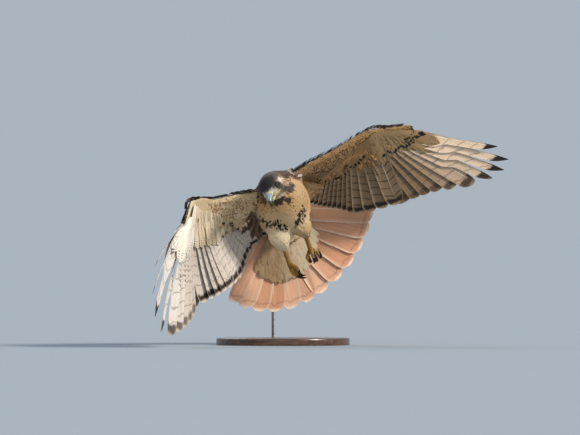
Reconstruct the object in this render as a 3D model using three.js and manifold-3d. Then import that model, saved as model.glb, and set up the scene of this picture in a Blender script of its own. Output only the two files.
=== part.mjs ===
// Red-tailed hawk, life size, banking and braking in the air, on a plain display stand.
// Millimetres, +Z up. The origin is the centre of the underside of the stand's base.
// The bird flies towards -Y with its left wing towards +X.

import * as THREE from "three";
import Module from "manifold-3d";

const wasm = await Module();
wasm.setup();

const DEGREE = Math.PI / 180;
const GAP = 0.3;

const vec = (x, y, z) => new THREE.Vector3(x, y, z);
const unit = (x, y, z) => vec(x, y, z).normalize();
const cross = (a, b) => a.clone().cross(b).normalize();
const mix = (a, b, share) => a + (b - a) * share;
const mixed = (a, b, share) => a.clone().lerp(b, share);
const moved = (point, ...steps) => {
  const result = point.clone();
  for (const [direction, distance] of steps) {
    result.addScaledVector(direction, distance);
  }
  return result;
};
const squared = (direction, axis) => moved(direction, [axis, -direction.dot(axis)]).normalize();

// Driving sizes of the trunk and the head

const TRUNK_CENTRE = vec(0, -60, 307);
const TRUNK_BACKWARD = unit(0.08, 0.883, -0.462);
const TRUNK_LEFT = squared(unit(0.86, 0.17, 0.475), TRUNK_BACKWARD);
const TRUNK_UP = cross(TRUNK_LEFT, TRUNK_BACKWARD);

const HEAD_CENTRE = vec(-27, -190, 349);
const BILL_FORWARD = unit(-0.06, -0.82, -0.58);
const HEAD_LEFT = squared(unit(0.76, -0.42, 0.51), BILL_FORWARD);
const HEAD_UP = cross(BILL_FORWARD, HEAD_LEFT);

const EYE_RADIUS = 7.6;
const EYE_SEAT = { forward: 1, aside: 17.5, up: 2 };

// Driving sizes of the wings. Primaries are counted from the wrist out, secondaries from the wrist in.

const HUMERUS = 110;
const ULNA = 125;
const HAND_BONES = 88;
const SHOULDER = { forward: 85, aside: 37, up: 25 };
const PRIMARY_LENGTHS = [239, 243, 249, 259, 278, 309, 336, 342, 327, 270];
const FIRST_FINGER = 6;
const SECONDARIES = 13;
const TERTIALS = 3;
const UNDER_COVERT = { share: 0.43, step: 6.5 };
const UPPER_COVERT = { share: 0.36, step: 5 };
const VANE_THICK = 0.9;
const WING_TILT = 8 * DEGREE;

const LEFT_WING = {
  side: 1,
  wrist: vec(193.5, -103, 474.7),
  outward: unit(0.9, 0.37, 0.21),
  backward: unit(-0.07, 0.61, -0.79),
  firstPrimary: 63,
  lastPrimary: 26,
  fanEase: 0.03,
  lift: -0.005,
  twist: 8,
  alulaRaise: -0.04,
  alulaTurn: 0.2,
  trailingEdge: [
    vec(258.5, 42, 317),
    vec(180, 48, 297.7),
    vec(135, 58, 306.5),
    vec(100, 62, 312),
    vec(70, 54, 320),
    vec(48, 40, 327),
  ],
};

const RIGHT_WING = {
  side: -1,
  wrist: vec(-202.5, -205, 315),
  outward: unit(-0.15, -0.89, -0.44),
  backward: unit(0.13, 0.42, -0.9),
  firstPrimary: 84,
  lastPrimary: -6,
  fanEase: 0.11,
  lift: 0.08,
  twist: 34,
  alulaRaise: 0.2,
  alulaTurn: 0,
  trailingEdge: [
    vec(-174.8, -124, 97.5),
    vec(-131, -104, 121.5),
    vec(-96, -56, 152),
    vec(-91, 0, 200),
    vec(-78, 34, 235),
    vec(-72, 40, 255),
  ],
};

// Driving sizes of the tail, the legs and the stand

const TAIL_APEX = vec(-19, 25, 313);
const TAIL_ALONG = unit(0.4, 0.37, -0.84);
const TAIL_LEFT = squared(unit(0.8, 0.31, 0.51), TAIL_ALONG);
const TAIL_BELLY = cross(TAIL_ALONG, TAIL_LEFT);
const TAIL_REACH = 245;
const TAIL_SPREAD = 112 * DEGREE;
const TAIL_FEATHERS = 12;

const LEGS = {
  left: {
    hip: vec(34, -76, 284),
    ankle: vec(50, -70, 250),
    toes: vec(63, -48, 212),
    curl: unit(0.1, -0.9, 0.1),
    reach: 17,
    clench: 138,
    hook: 92,
    splay: 1,
  },
  right: {
    hip: vec(-14, -84, 262),
    ankle: vec(1, -70, 220),
    toes: vec(17, -44, 178),
    curl: unit(0.55, -0.8, 0.1),
    reach: 27,
    clench: 74,
    hook: 48,
    splay: 0.62,
  },
};

const BASE_RADIUS = 150;
const BASE_THICK = 16;
const ROD_RADIUS = 4;
const ROD_FOOT = vec(-22, 118, BASE_THICK);
const ROD_TOP = vec(-24, 24, 322);

// Closed solids from points

function solidOf(points, triangles) {
  const make = (faces) =>
    new wasm.Manifold(
      new wasm.Mesh({
        numProp: 3,
        vertProperties: new Float32Array(points.flatMap((p) => [p.x, p.y, p.z])),
        triVerts: new Uint32Array(faces.flat()),
      }),
    );
  const made = make(triangles);
  return made.volume() > 0 ? made : make(triangles.map(([a, b, c]) => [a, c, b]));
}

// A solid through rings of equal count, closed by a fan at each end.
function loft(rings) {
  const count = rings[0].length;
  const last = (rings.length - 1) * count;
  const triangles = [];
  for (let ring = 0; ring < rings.length - 1; ring += 1) {
    for (let side = 0; side < count; side += 1) {
      const a = ring * count + side;
      const b = ring * count + ((side + 1) % count);
      triangles.push([a, b, b + count], [a, b + count, a + count]);
    }
  }
  for (let side = 1; side < count - 1; side += 1) {
    triangles.push([0, side + 1, side], [last, last + side, last + side + 1]);
  }
  return solidOf(rings.flat(), triangles);
}

function oval(centre, across, wide, up, high, low, count) {
  return Array.from({ length: count }, (_, index) => {
    const angle = (index / count) * 2 * Math.PI;
    const rise = Math.sin(angle) > 0 ? high : low;
    return moved(centre, [across, wide * Math.cos(angle)], [up, rise * Math.sin(angle)]);
  });
}

// A round limb along a curve, with a radius for each of its points.
function limb(points, radii, count = 8, grow = 0) {
  const curve = new THREE.CatmullRomCurve3(points);
  const start = curve.getTangent(0);
  let aside = cross(start, Math.abs(start.z) > 0.9 ? vec(0, 1, 0) : vec(0, 0, 1));
  const rings = radii.map((radius, index) => {
    const share = index / (radii.length - 1);
    const along = curve.getTangent(share);
    aside = squared(aside, along);
    const end = share === 0 ? -grow : share === 1 ? grow : 0;
    const size = radius + grow;
    return oval(moved(curve.getPoint(share), [along, end]), aside, size, cross(along, aside), size, size, count);
  });
  return loft(rings);
}

function ball(centre, radius, axes, scale = [1, 1, 1]) {
  const [a, b, c] = axes;
  const belts = 6;
  const rings = [];
  for (let belt = 0; belt <= belts; belt += 1) {
    const angle = mix(0.04, 0.96, belt / belts) * Math.PI;
    const wide = Math.sin(angle) * radius;
    const place = moved(centre, [c, Math.cos(angle) * radius * scale[2]]);
    rings.push(oval(place, a, wide * scale[0], b, wide * scale[1], wide * scale[1], 10));
  }
  return loft(rings);
}

const joined = (solids) => solids.reduce((whole, solid) => whole.add(solid));
const largest = (solid) => solid.decompose().reduce((a, b) => (b.volume() > a.volume() ? b : a));

// Feathers

function vaneWidth(share, notch) {
  const opening = Math.min(1, 0.42 + share * 1.7);
  const tip = share < 0.78 ? 1 : Math.sqrt(1 - 0.9 * ((share - 0.78) / 0.22) ** 2);
  const finger = share > notch ? 0.52 : 1;
  return opening * tip * finger;
}

// The vane turns with the row that it stands in, from the line of the roots to that of the tips.
function vaneAxes({ root, tip, outward, tipOutward = outward, up }, share) {
  const along = tip.clone().sub(root).normalize();
  const across = squared(mixed(outward, tipOutward, share), along);
  return { along, across, rise: squared(squared(up, along), across) };
}

function inRow(feathers) {
  const last = feathers.length - 1;
  return feathers.map((feather, index) => {
    const ahead = feathers[Math.max(0, index - 1)];
    const behind = feathers[Math.min(last, index + 1)];
    const spacing = ahead.tip.distanceTo(behind.tip) / (index === 0 || index === last ? 1 : 2);
    return {
      ...feather,
      inner: Math.min(feather.inner, Math.max(0.75 * spacing + 3, 13)),
      outer: Math.min(feather.outer, Math.max(0.35 * spacing + 2, 7)),
      outward: ahead.root.clone().sub(behind.root).normalize(),
    };
  });
}

function shaftPoint(feather, share) {
  const { root, tip, arch = 0, sweep = 0 } = feather;
  const { across, rise } = vaneAxes(feather, share);
  const bow = 4 * share * (1 - share);
  return moved(mixed(root, tip, share), [rise, arch * bow], [across, sweep * bow]);
}

// One feather as a thin vane from root to tip. Its outer edge lies higher than its inner edge,
// so that a row of feathers overlaps like shingles without touching.
function vane(feather) {
  const { inner, outer, tilt = WING_TILT, notch = 2, thick = VANE_THICK } = feather;
  const { stations = [0, 0.34, 0.78, 0.94, 1] } = feather;
  const rings = stations.map((share) => {
    const { across, rise } = vaneAxes(feather, share);
    const edge = moved(across.clone().multiplyScalar(Math.cos(tilt)), [rise, Math.sin(tilt)]);
    const face = moved(rise.clone().multiplyScalar(Math.cos(tilt)), [across, -Math.sin(tilt)]);
    const shaft = shaftPoint(feather, share);
    const width = vaneWidth(share, notch);
    const half = mix(thick, 0.55 * thick, share) / 2;
    return [
      moved(shaft, [edge, -inner * width], [face, half]),
      moved(shaft, [edge, outer * width], [face, half]),
      moved(shaft, [edge, outer * width], [face, -half]),
      moved(shaft, [edge, -inner * width], [face, -half]),
    ];
  });
  return loft(rings);
}

// Trunk, neck and head

function trunk(grow) {
  const stations = [
    [-112, 26, 22, 8],
    [-98, 44, 40, 8],
    [-72, 58, 54, 5],
    [-40, 65, 61, 2],
    [-5, 67, 63, 0],
    [30, 64, 60, 0],
    [62, 54, 51, 6],
    [88, 40, 37, 14],
    [106, 24, 22, 20],
  ];
  const rings = stations.map(([back, wide, deep, rise], index) => {
    const end = index === 0 ? -grow : index === stations.length - 1 ? grow : 0;
    const centre = moved(TRUNK_CENTRE, [TRUNK_BACKWARD, back + end], [TRUNK_UP, rise]);
    return oval(centre, TRUNK_LEFT, wide + grow, TRUNK_UP, deep + grow, deep + grow, 20);
  });
  return loft(rings);
}

const headPoint = (forward, aside, up) =>
  moved(HEAD_CENTRE, [BILL_FORWARD, forward], [HEAD_LEFT, aside], [HEAD_UP, up]);

function neck(grow) {
  const start = moved(TRUNK_CENTRE, [TRUNK_BACKWARD, -70], [TRUNK_UP, 12]);
  const end = headPoint(-24, 0, 0);
  const rings = [0, 0.35, 0.7, 1].map((share, index) => {
    const reach = index === 3 ? grow : 0;
    const centre = moved(mixed(start, end, share), [BILL_FORWARD, reach]);
    const along = mixed(TRUNK_BACKWARD.clone().negate(), BILL_FORWARD, share).normalize();
    const left = squared(mixed(TRUNK_LEFT, HEAD_LEFT, share), along);
    const radius = [50, 44, 36, 28][index] + grow;
    return oval(centre, left, radius, cross(along, left), radius, radius, 16);
  });
  return loft(rings);
}

function skull(grow) {
  const stations = [
    [-47, 10, 8, 9],
    [-41, 20, 17, 19],
    [-28, 28, 26, 27],
    [-12, 30, 28, 28],
    [2, 27, 25, 24],
    [13, 20, 19, 19],
    [21, 12.5, 12.5, 15],
  ];
  return loft(
    stations.map(([forward, wide, high, low], index) => {
      const end = index === 0 ? -grow : 0;
      return oval(headPoint(forward + end, 0, 0), HEAD_LEFT, wide + grow, HEAD_UP, high + grow, low + grow, 18);
    }),
  );
}

function eye(side, grow) {
  const centre = headPoint(EYE_SEAT.forward, side * EYE_SEAT.aside, EYE_SEAT.up);
  return ball(centre, EYE_RADIUS + grow, [BILL_FORWARD, HEAD_UP, HEAD_LEFT]);
}

// The socket opens the head over each eye, and a lid ring and a brow stand round it.
function head() {
  const parts = [skull(0)];
  for (const side of [1, -1]) {
    const brow = limb(
      [headPoint(-10, side * 24, 12), headPoint(4, side * 25.5, 9.5), headPoint(17, side * 15, 7)],
      [2.2, 3.4, 3.4, 2.2],
      8,
    );
    parts.push(brow);
  }
  let whole = joined(parts);
  for (const side of [1, -1]) {
    const opening = headPoint(EYE_SEAT.forward, side * 27, EYE_SEAT.up - 0.5);
    whole = whole.subtract(ball(opening, 8, [BILL_FORWARD, HEAD_UP, HEAD_LEFT], [0.95, 0.78, 0.75]));
    const lid = Array.from({ length: 13 }, (_, index) => {
      const angle = (index / 12) * 2 * Math.PI;
      return headPoint(
        EYE_SEAT.forward + 6.9 * Math.cos(angle),
        side * (EYE_SEAT.aside + 4.6),
        EYE_SEAT.up + 5.8 * Math.sin(angle),
      );
    });
    whole = whole.add(lidRing(lid));
    const mouth = limb(
      [headPoint(24, side * 9.5, -5.6), headPoint(16, side * 14.5, -7.5), headPoint(7, side * 22, -11)],
      [1, 1.1, 0.7],
      6,
    );
    whole = whole.subtract(mouth);
    whole = whole.subtract(eye(side, GAP));
  }
  return whole;
}

function lidRing(points) {
  const centre = points[0].clone().add(points[6]).multiplyScalar(0.5);
  const count = points.length - 1;
  const rings = points.slice(0, count).map((point) => {
    const out = point.clone().sub(centre).normalize();
    return oval(point, out, 1.5, HEAD_LEFT, 1.6, 1.6, 5);
  });
  const triangles = [];
  for (let ring = 0; ring < count; ring += 1) {
    const next = (ring + 1) % count;
    for (let side = 0; side < 5; side += 1) {
      const after = (side + 1) % 5;
      triangles.push([ring * 5 + side, ring * 5 + after, next * 5 + after]);
      triangles.push([ring * 5 + side, next * 5 + after, next * 5 + side]);
    }
  }
  return solidOf(rings.flat(), triangles);
}

function billUpper() {
  const stations = [
    [21 + GAP, 3, 9.8, 7.6, 0],
    [30, 3, 8, 7, 8],
    [38, 1.4, 6, 5.6, 22],
    [44.5, -2, 4, 4.2, 42],
    [48.8, -6.5, 2.4, 2.8, 66],
    [50, -11, 0.7, 0.9, 82],
  ];
  let bill = loft(
    stations.map(([forward, up, wide, high, turn]) => {
      const rise = moved(HEAD_UP.clone().multiplyScalar(Math.cos(turn * DEGREE)), [BILL_FORWARD, Math.sin(turn * DEGREE)]);
      return oval(headPoint(forward, 0, up), HEAD_LEFT, wide, rise, high, high, 12);
    }),
  );
  for (const side of [1, -1]) {
    const nostril = headPoint(28, side * 8.2, 4.5);
    bill = bill.subtract(ball(nostril, 2, [BILL_FORWARD, HEAD_UP, HEAD_LEFT]));
  }
  return bill;
}

function billLower() {
  const stations = [
    [21 + GAP, -9.2, 8.6, 3.4],
    [30, -8.4, 6.6, 3],
    [38, -8, 4.6, 2.4],
    [42.5, -8.2, 2.4, 1.2],
  ];
  return loft(
    stations.map(([forward, up, wide, high]) => oval(headPoint(forward, 0, up), HEAD_LEFT, wide, HEAD_UP, high, high, 12)),
  ).subtract(billUpperClear());
}

function billUpperClear() {
  return loft(
    [20, 34, 40, 46, 52].map((forward, index) => {
      const up = [3, 2.2, 1, -3, -9][index];
      return oval(headPoint(forward, 0, up), HEAD_LEFT, 14, HEAD_UP, 12, [8.2, 7.4, 7, 7, 7][index], 12);
    }),
  );
}

// Wings

function wingFrame(pose) {
  const shoulder = moved(
    TRUNK_CENTRE,
    [TRUNK_BACKWARD, -SHOULDER.forward],
    [TRUNK_LEFT, pose.side * SHOULDER.aside],
    [TRUNK_UP, SHOULDER.up],
  );
  const { wrist, outward, side } = pose;
  const backward = squared(pose.backward, outward);
  const up = side > 0 ? cross(outward, backward) : cross(backward, outward);
  const reach = shoulder.distanceTo(wrist);
  const armOut = wrist.clone().sub(shoulder).normalize();
  const armBack = squared(TRUNK_BACKWARD, armOut);
  const foot = (HUMERUS ** 2 - ULNA ** 2 + reach ** 2) / (2 * reach);
  const elbow = moved(shoulder, [armOut, foot], [armBack, Math.sqrt(HUMERUS ** 2 - foot ** 2)]);
  const armUp = side > 0 ? cross(armOut, armBack) : cross(armBack, armOut);
  return { ...pose, shoulder, wrist, elbow, outward, backward, up, armOut, armBack, armUp };
}

// The primaries fan out from the hand bones.
function primaries(wing) {
  const count = PRIMARY_LENGTHS.length;
  const feathers = PRIMARY_LENGTHS.map((length, index) => {
    const share = index / (count - 1);
    const turn = share + wing.fanEase * share * (1 - share);
    const angle = mix(wing.firstPrimary, wing.lastPrimary, turn) * DEGREE;
    const along = moved(
      wing.outward.clone().multiplyScalar(Math.cos(angle)),
      [wing.backward, Math.sin(angle)],
      [wing.up, wing.lift],
    ).normalize();
    const base = moved(wing.wrist, [wing.outward, mix(8, HAND_BONES, share)], [wing.backward, 3]);
    return {
      root: moved(base, [along, -6], [wing.backward, 9 * share * share]),
      tip: moved(base, [along, length]),
      up: wing.up,
      inner: 25,
      outer: mix(11, 6, share),
      tilt: mix(8, wing.twist, Math.min(1, share * 2)) * DEGREE,
      notch: index >= FIRST_FINGER ? mix(0.62, 0.44, (index - FIRST_FINGER) / 3) : 2,
      arch: 6,
      sweep: mix(0, -6, share),
    };
  });
  return inRow(feathers.reverse()).reverse();
}

// Secondaries and tertials stand along the forearm and the upper arm, out to the trailing edge.
function secondaries(wing) {
  const edge = new THREE.CatmullRomCurve3(wing.trailingEdge);
  const count = SECONDARIES + TERTIALS;
  const feathers = Array.from({ length: count }, (_, index) => {
    const onForearm = Math.min(1, index / (SECONDARIES - 1));
    const onUpperArm = Math.max(0, index - SECONDARIES + 1) / (TERTIALS + 2);
    const bone = mixed(mixed(wing.wrist, wing.elbow, onForearm), wing.shoulder, onUpperArm);
    const tip = edge.getPoint(index / (count - 1));
    const along = tip.clone().sub(bone).normalize();
    const up = mixed(wing.up, wing.armUp, Math.min(1, onForearm * 1.2)).normalize();
    return { root: moved(bone, [along, 4]), tip, up, inner: 24, outer: 10, arch: 8 };
  });
  return inRow(feathers);
}

// A shorter and wider covert lies over every other flight feather, below it for the underside and above it for the back.
function covert(feather, above) {
  const { along, rise } = vaneAxes(feather, 0);
  const step = above ? UPPER_COVERT.step : -UNDER_COVERT.step;
  const { share } = above ? UPPER_COVERT : UNDER_COVERT;
  const inner = Math.min(19, feather.inner * 1.3);
  const outer = Math.min(12, feather.outer * 1.3);
  const { across: tipOutward, rise: tipRise } = vaneAxes(feather, share);
  return {
    ...feather,
    tipOutward,
    root: moved(feather.root, [rise, step * 0.7], [along, 10]),
    tip: moved(shaftPoint(feather, share), [tipRise, step]),
    inner,
    outer,
    arch: 2,
    sweep: 0,
    notch: 2,
    stations: [0, 0.7, 1],
  };
}

const everyOther = (list) => list.filter((_, index) => index % 2 === 0);

function section(front, rear, up, thick) {
  const chord = rear.clone().sub(front);
  const profile = [
    [0, 0],
    [0.12, 0.42],
    [0.4, 0.5],
    [0.8, 0.3],
    [1, 0.08],
    [1, -0.08],
    [0.75, -0.3],
    [0.35, -0.42],
    [0.08, -0.36],
  ];
  return profile.map(([share, rise]) => moved(front, [chord, share], [up, rise * thick]));
}

function armCore(wing, feathers) {
  const stops = [
    { front: moved(wing.shoulder, [TRUNK_LEFT, -wing.side * 26]), feather: 15, thick: 34 },
    { front: moved(wing.shoulder, [wing.armOut, 8]), feather: 15, thick: 30 },
    { front: moved(wing.shoulder, [wing.armOut, 60]), feather: 12, thick: 20 },
    { front: moved(wing.shoulder, [wing.armOut, 115]), feather: 7, thick: 16 },
    { front: moved(wing.wrist, [wing.armOut, -30], [wing.backward, -13]), feather: 3, thick: 14 },
    { front: moved(wing.wrist, [wing.backward, -13]), feather: 0, thick: 13 },
  ];
  const rings = stops.map(({ front, feather, thick }, index) => {
    const share = index / (stops.length - 1);
    const quill = feathers[feather];
    const along = quill.tip.clone().sub(quill.root).normalize();
    const reach = index === 0 ? 30 : 34;
    const rear = moved(quill.root, [along, reach]);
    const inset = index === 0 ? moved(rear, [TRUNK_LEFT, -wing.side * 26]) : rear;
    return section(front, inset, mixed(wing.armUp, wing.up, share).normalize(), thick);
  });
  return loft(rings);
}

function handCore(wing, feathers) {
  const stops = [0.4, 30, 62, HAND_BONES + 8];
  const rings = stops.map((place, index) => {
    const front = moved(wing.wrist, [wing.outward, place], [wing.backward, mix(-13, 0, index / 3)]);
    const quill = feathers[Math.round((index / 3) * 9)];
    const along = quill.tip.clone().sub(quill.root).normalize();
    const rear = moved(quill.root, [along, mix(38, 16, index / 3)]);
    return section(front, rear, wing.up, mix(13, 7, index / 3));
  });
  return loft(rings);
}

function alula(wing) {
  const along = moved(wing.outward, [wing.up, wing.alulaRaise], [wing.backward, wing.alulaTurn]).normalize();
  return [0, 1, 2].map((index) => {
    const root = moved(wing.wrist, [wing.outward, 16], [wing.backward, -6 + index * 3], [wing.up, 2.4 - index * 1.4]);
    return {
      root: moved(root, [along, -6]),
      tip: moved(root, [along, 98 - index * 22]),
      outward: wing.backward.clone().negate(),
      up: wing.up,
      inner: 11,
      outer: 6,
      tilt: 0,
      arch: 3,
      stations: [0, 0.6, 0.85, 1],
    };
  });
}

// The hand meets the forearm on a plane between the first secondary and the first primary.
function wristPlane(wing, secondary, primary) {
  const point = mixed(secondary.root, primary.root, 0.5);
  const along = mixed(secondary.tip, primary.tip, 0.5).sub(point).normalize();
  return { point, normal: squared(primary.tip.clone().sub(secondary.tip), along) };
}

const beyond = (solid, normal, point) => solid.trimByPlane(normal.toArray(), normal.dot(point) + GAP / 2);

// Tail

function tailFeathers() {
  const half = TAIL_FEATHERS / 2;
  const feathers = [];
  for (const side of [1, -1]) {
    for (let index = 0; index < half; index += 1) {
      const share = (index + 0.5) / (half - 0.5);
      const angle = side * (TAIL_SPREAD / 2) * Math.min(1, share + 0.12 * share * (1 - share));
      const along = moved(TAIL_ALONG.clone().multiplyScalar(Math.cos(angle)), [TAIL_LEFT, Math.sin(angle)]);
      const outward = moved(TAIL_LEFT.clone().multiplyScalar(side * Math.cos(angle)), [TAIL_ALONG, -side * Math.sin(angle)]);
      const stack = [TAIL_BELLY, index * 2 + (side > 0 ? 0 : 1) - 5];
      feathers.push({
        root: moved(TAIL_APEX, [along, 14], stack),
        tip: moved(TAIL_APEX, [along, TAIL_REACH - 8 * share * share], stack),
        outward,
        up: TAIL_BELLY.clone().negate(),
        inner: 26,
        outer: index === half - 1 ? 8 : 16,
        tilt: 1.5 * DEGREE,
        arch: 3,
        thick: 0.7,
      });
    }
  }
  return feathers;
}

// Soft coverts lie over the base of the tail, in two tiers below it and one above it.
const TAIL_COVERTS = [
  { count: 7, from: -38, to: 24, reach: 184, fall: 42, depth: 14, rise: 2, wide: 16 },
  { count: 5, from: -30, to: 16, reach: 132, fall: 22, depth: 22, rise: 5, wide: 17 },
  { count: 5, from: -32, to: 32, reach: 96, fall: 20, depth: -13, rise: -3, wide: 17 },
];

function tailCoverts(tier) {
  return Array.from({ length: tier.count }, (_, index) => {
    const share = index / (tier.count - 1);
    const angle = mix(tier.from, tier.to, share) * DEGREE;
    const along = moved(TAIL_ALONG.clone().multiplyScalar(Math.cos(angle)), [TAIL_LEFT, Math.sin(angle)]);
    const reach = tier.reach - tier.fall * (2 * share - 0.8) ** 2;
    return {
      root: moved(TAIL_APEX, [along, 24], [TAIL_BELLY, tier.depth - tier.rise]),
      tip: moved(TAIL_APEX, [along, reach], [TAIL_BELLY, tier.depth]),
      outward: moved(TAIL_LEFT.clone().multiplyScalar(Math.cos(angle)), [TAIL_ALONG, -Math.sin(angle)]),
      up: TAIL_BELLY.clone().negate(),
      inner: tier.wide,
      outer: tier.wide * 0.7,
      tilt: 9 * DEGREE,
      arch: tier.depth > 0 ? -5 : 3,
      thick: 0.9,
      stations: [0, 0.55, 0.82, 1],
    };
  });
}

function tailCore() {
  const stops = [
    [-24, 22, 10, 20],
    [2, 34, 14, 28],
    [30, 38, 12, 26],
    [58, 34, 7, 20],
    [84, 22, 3.5, 12],
  ];
  return loft(
    stops.map(([place, wide, high, low]) => {
      const centre = moved(TAIL_APEX, [TAIL_ALONG, place]);
      return oval(centre, TAIL_LEFT, wide, TAIL_BELLY, low, high, 14);
    }),
  );
}

// Legs

function thigh(leg, grow) {
  const middle = moved(mixed(leg.hip, leg.ankle, 0.5), [vec(0, -1, 0), 2]);
  return limb([leg.hip, middle, leg.ankle, mixed(leg.ankle, leg.toes, 0.3)], [34, 33, 28, 21, 13, 8], 12, grow);
}

const TOES = [
  { aside: -13, thick: 5, length: 0.88 },
  { aside: -1, thick: 5.2, length: 1 },
  { aside: 13, thick: 4.8, length: 0.88 },
];
const REAR_TOE_ASIDE = 6.5;

function footFrame(leg) {
  const down = leg.toes.clone().sub(leg.ankle).normalize();
  const curl = squared(leg.curl, down);
  return { down, curl, aside: cross(down, curl) };
}

// A toe bends round an arc towards the sole, and its claw carries the bend on.
function toeArc(leg, toe, from, to, steps) {
  const { down, curl, aside } = footFrame(leg);
  const reach = leg.reach * toe.length;
  return Array.from({ length: steps }, (_, index) => {
    const angle = mix(from, to, index / (steps - 1)) * DEGREE;
    return moved(
      leg.toes,
      [aside, toe.aside * leg.splay * Math.min(1, 0.35 + Math.abs(angle))],
      [curl, reach * (1 - Math.cos(angle))],
      [down, reach * Math.sin(angle)],
    );
  });
}

function rearArc(leg, from, to, steps) {
  const { down, curl, aside } = footFrame(leg);
  return Array.from({ length: steps }, (_, index) => {
    const angle = mix(from, to, index / (steps - 1)) * DEGREE;
    const base = moved(leg.toes, [down, -4], [curl, 5], [aside, REAR_TOE_ASIDE * leg.splay * Math.sin(angle / 2)]);
    return moved(base, [curl, 20 * Math.sin(angle)], [down, 15 * (1 - Math.cos(angle))]);
  });
}

function foot(leg, grow) {
  const parts = [limb([mixed(leg.ankle, leg.toes, 0.15), leg.toes], [6, 5.4, 6.4], 8, grow)];
  for (const toe of TOES) {
    const radii = [toe.thick, toe.thick, toe.thick * 0.84, toe.thick * 0.9, toe.thick * 0.66];
    parts.push(limb(toeArc(leg, toe, 0, leg.clench, 7), radii, 7, grow));
  }
  parts.push(limb(rearArc(leg, 0, 72, 5), [4.8, 4.6, 3.6], 7, grow));
  return joined(parts);
}

function claws(leg) {
  const clear = foot(leg, GAP);
  const front = TOES.map((toe) => {
    const arc = toeArc(leg, toe, leg.clench - 5, leg.clench + leg.hook, 6);
    return limb(arc, [toe.thick * 0.56, toe.thick * 0.5, toe.thick * 0.34, 0.4], 6).subtract(clear);
  });
  const rear = limb(rearArc(leg, 68, 150, 6), [3, 2.6, 1.7, 0.4], 6).subtract(clear);
  return [...front, rear];
}

// Stand

function standBase() {
  const profile = [
    [0, 0],
    [BASE_RADIUS - 1.5, 0],
    [BASE_RADIUS, 1.5],
    [BASE_RADIUS, BASE_THICK - 3],
    [BASE_RADIUS - 3, BASE_THICK],
    [0, BASE_THICK],
  ].map(([radius, height]) => new THREE.Vector2(radius, height));
  const geometry = new THREE.LatheGeometry(profile, 40);
  geometry.rotateX(Math.PI / 2);
  return geometry;
}

function standRod(grow) {
  const along = ROD_TOP.clone().sub(ROD_FOOT).normalize();
  const start = moved(ROD_FOOT, [vec(0, 0, 1), GAP]);
  const aside = cross(along, vec(1, 0, 0));
  const lowRing = oval(start, vec(1, 0, 0), ROD_RADIUS + grow, vec(0, 1, 0), ROD_RADIUS + grow, ROD_RADIUS + grow, 16);
  const highRing = oval(moved(ROD_TOP, [along, grow]), cross(aside, along), ROD_RADIUS + grow, aside, ROD_RADIUS + grow, ROD_RADIUS + grow, 16);
  return loft([lowRing, highRing]);
}

// Assembly

const COLOURS = {
  brown: { color: 0x5a4030, roughness: 0.8, metalness: 0 },
  cream: { color: 0xd8c3a0, roughness: 0.85, metalness: 0 },
  rufous: { color: 0xc08060, roughness: 0.75, metalness: 0 },
  slate: { color: 0x4a4038, roughness: 0.8, metalness: 0 },
  dark: { color: 0x120c08, roughness: 0.1, metalness: 0 },
  horn: { color: 0x3c444c, roughness: 0.4, metalness: 0 },
  yellow: { color: 0xc8a838, roughness: 0.6, metalness: 0 },
  claw: { color: 0x141210, roughness: 0.35, metalness: 0 },
  wood: { color: 0x6a4a30, roughness: 0.45, metalness: 0 },
  steel: { color: 0xb8babc, roughness: 0.3, metalness: 1 },
};

const hawk = new THREE.Group();

function place(name, shape, colour) {
  let geometry = shape;
  if (!shape.isBufferGeometry) {
    const { vertProperties, triVerts } = largest(shape).getMesh();
    geometry = new THREE.BufferGeometry();
    geometry.setAttribute("position", new THREE.BufferAttribute(vertProperties, 3));
    geometry.setIndex(new THREE.BufferAttribute(triVerts, 1));
    geometry.computeVertexNormals();
  }
  const mesh = new THREE.Mesh(geometry, new THREE.MeshStandardMaterial(COLOURS[colour]));
  mesh.name = name;
  hawk.add(mesh);
}

const trunkClear = trunk(GAP);
const neckClear = neck(GAP);
const rodClear = standRod(GAP);

place("torso", trunk(0).subtract(rodClear), "cream");
place("neck", neck(0).subtract(trunkClear), "brown");
place("head", head().subtract(neckClear).subtract(trunkClear), "slate");
place("bill_upper", billUpper(), "horn");
place("bill_lower", billLower(), "horn");
place("eye_left", eye(1, 0), "dark");
place("eye_right", eye(-1, 0), "dark");

for (const [label, pose] of Object.entries({ left: LEFT_WING, right: RIGHT_WING })) {
  const wing = wingFrame(pose);
  const inner = secondaries(wing);
  const outer = primaries(wing);
  const arm = [armCore(wing, inner), ...inner.map(vane)];
  const hand = [handCore(wing, outer), ...outer.map(vane), ...alula(wing).map(vane)];
  for (const above of [false, true]) {
    arm.push(...everyOther(inner).map((feather) => vane(covert(feather, above))));
    hand.push(...everyOther(outer).map((feather) => vane(covert(feather, above))));
  }
  const whole = joined([...arm, ...hand]).subtract(trunkClear).subtract(neckClear);
  const { point, normal } = wristPlane(wing, inner[0], outer[0]);
  place(`wing_${label}_arm`, beyond(whole, normal.clone().negate(), point), "brown");
  place(`wing_${label}_hand`, beyond(whole, normal, point), "cream");
}

const tail = joined([
  tailCore(),
  ...tailFeathers().map(vane),
  ...TAIL_COVERTS.flatMap(tailCoverts).map(vane),
]);
place("tail", tail.subtract(trunkClear).subtract(rodClear), "rufous");

for (const [label, leg] of Object.entries(LEGS)) {
  const other = label === "left" ? [] : [thigh(LEGS.left, GAP)];
  const shape = joined([trunkClear, foot(leg, GAP), ...other]);
  place(`leg_${label}_thigh`, thigh(leg, 0).subtract(shape), "cream");
  place(`leg_${label}_foot`, foot(leg, 0), "yellow");
  claws(leg).forEach((solid, index) => place(`claw_${label}_${index + 1}`, solid, "claw"));
}

place("stand_base", standBase(), "wood");
place("stand_rod", standRod(0), "steel");

export default hawk;
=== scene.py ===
import math

import bpy
import numpy as np
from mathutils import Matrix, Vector
from mathutils.bvhtree import BVHTree


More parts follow.
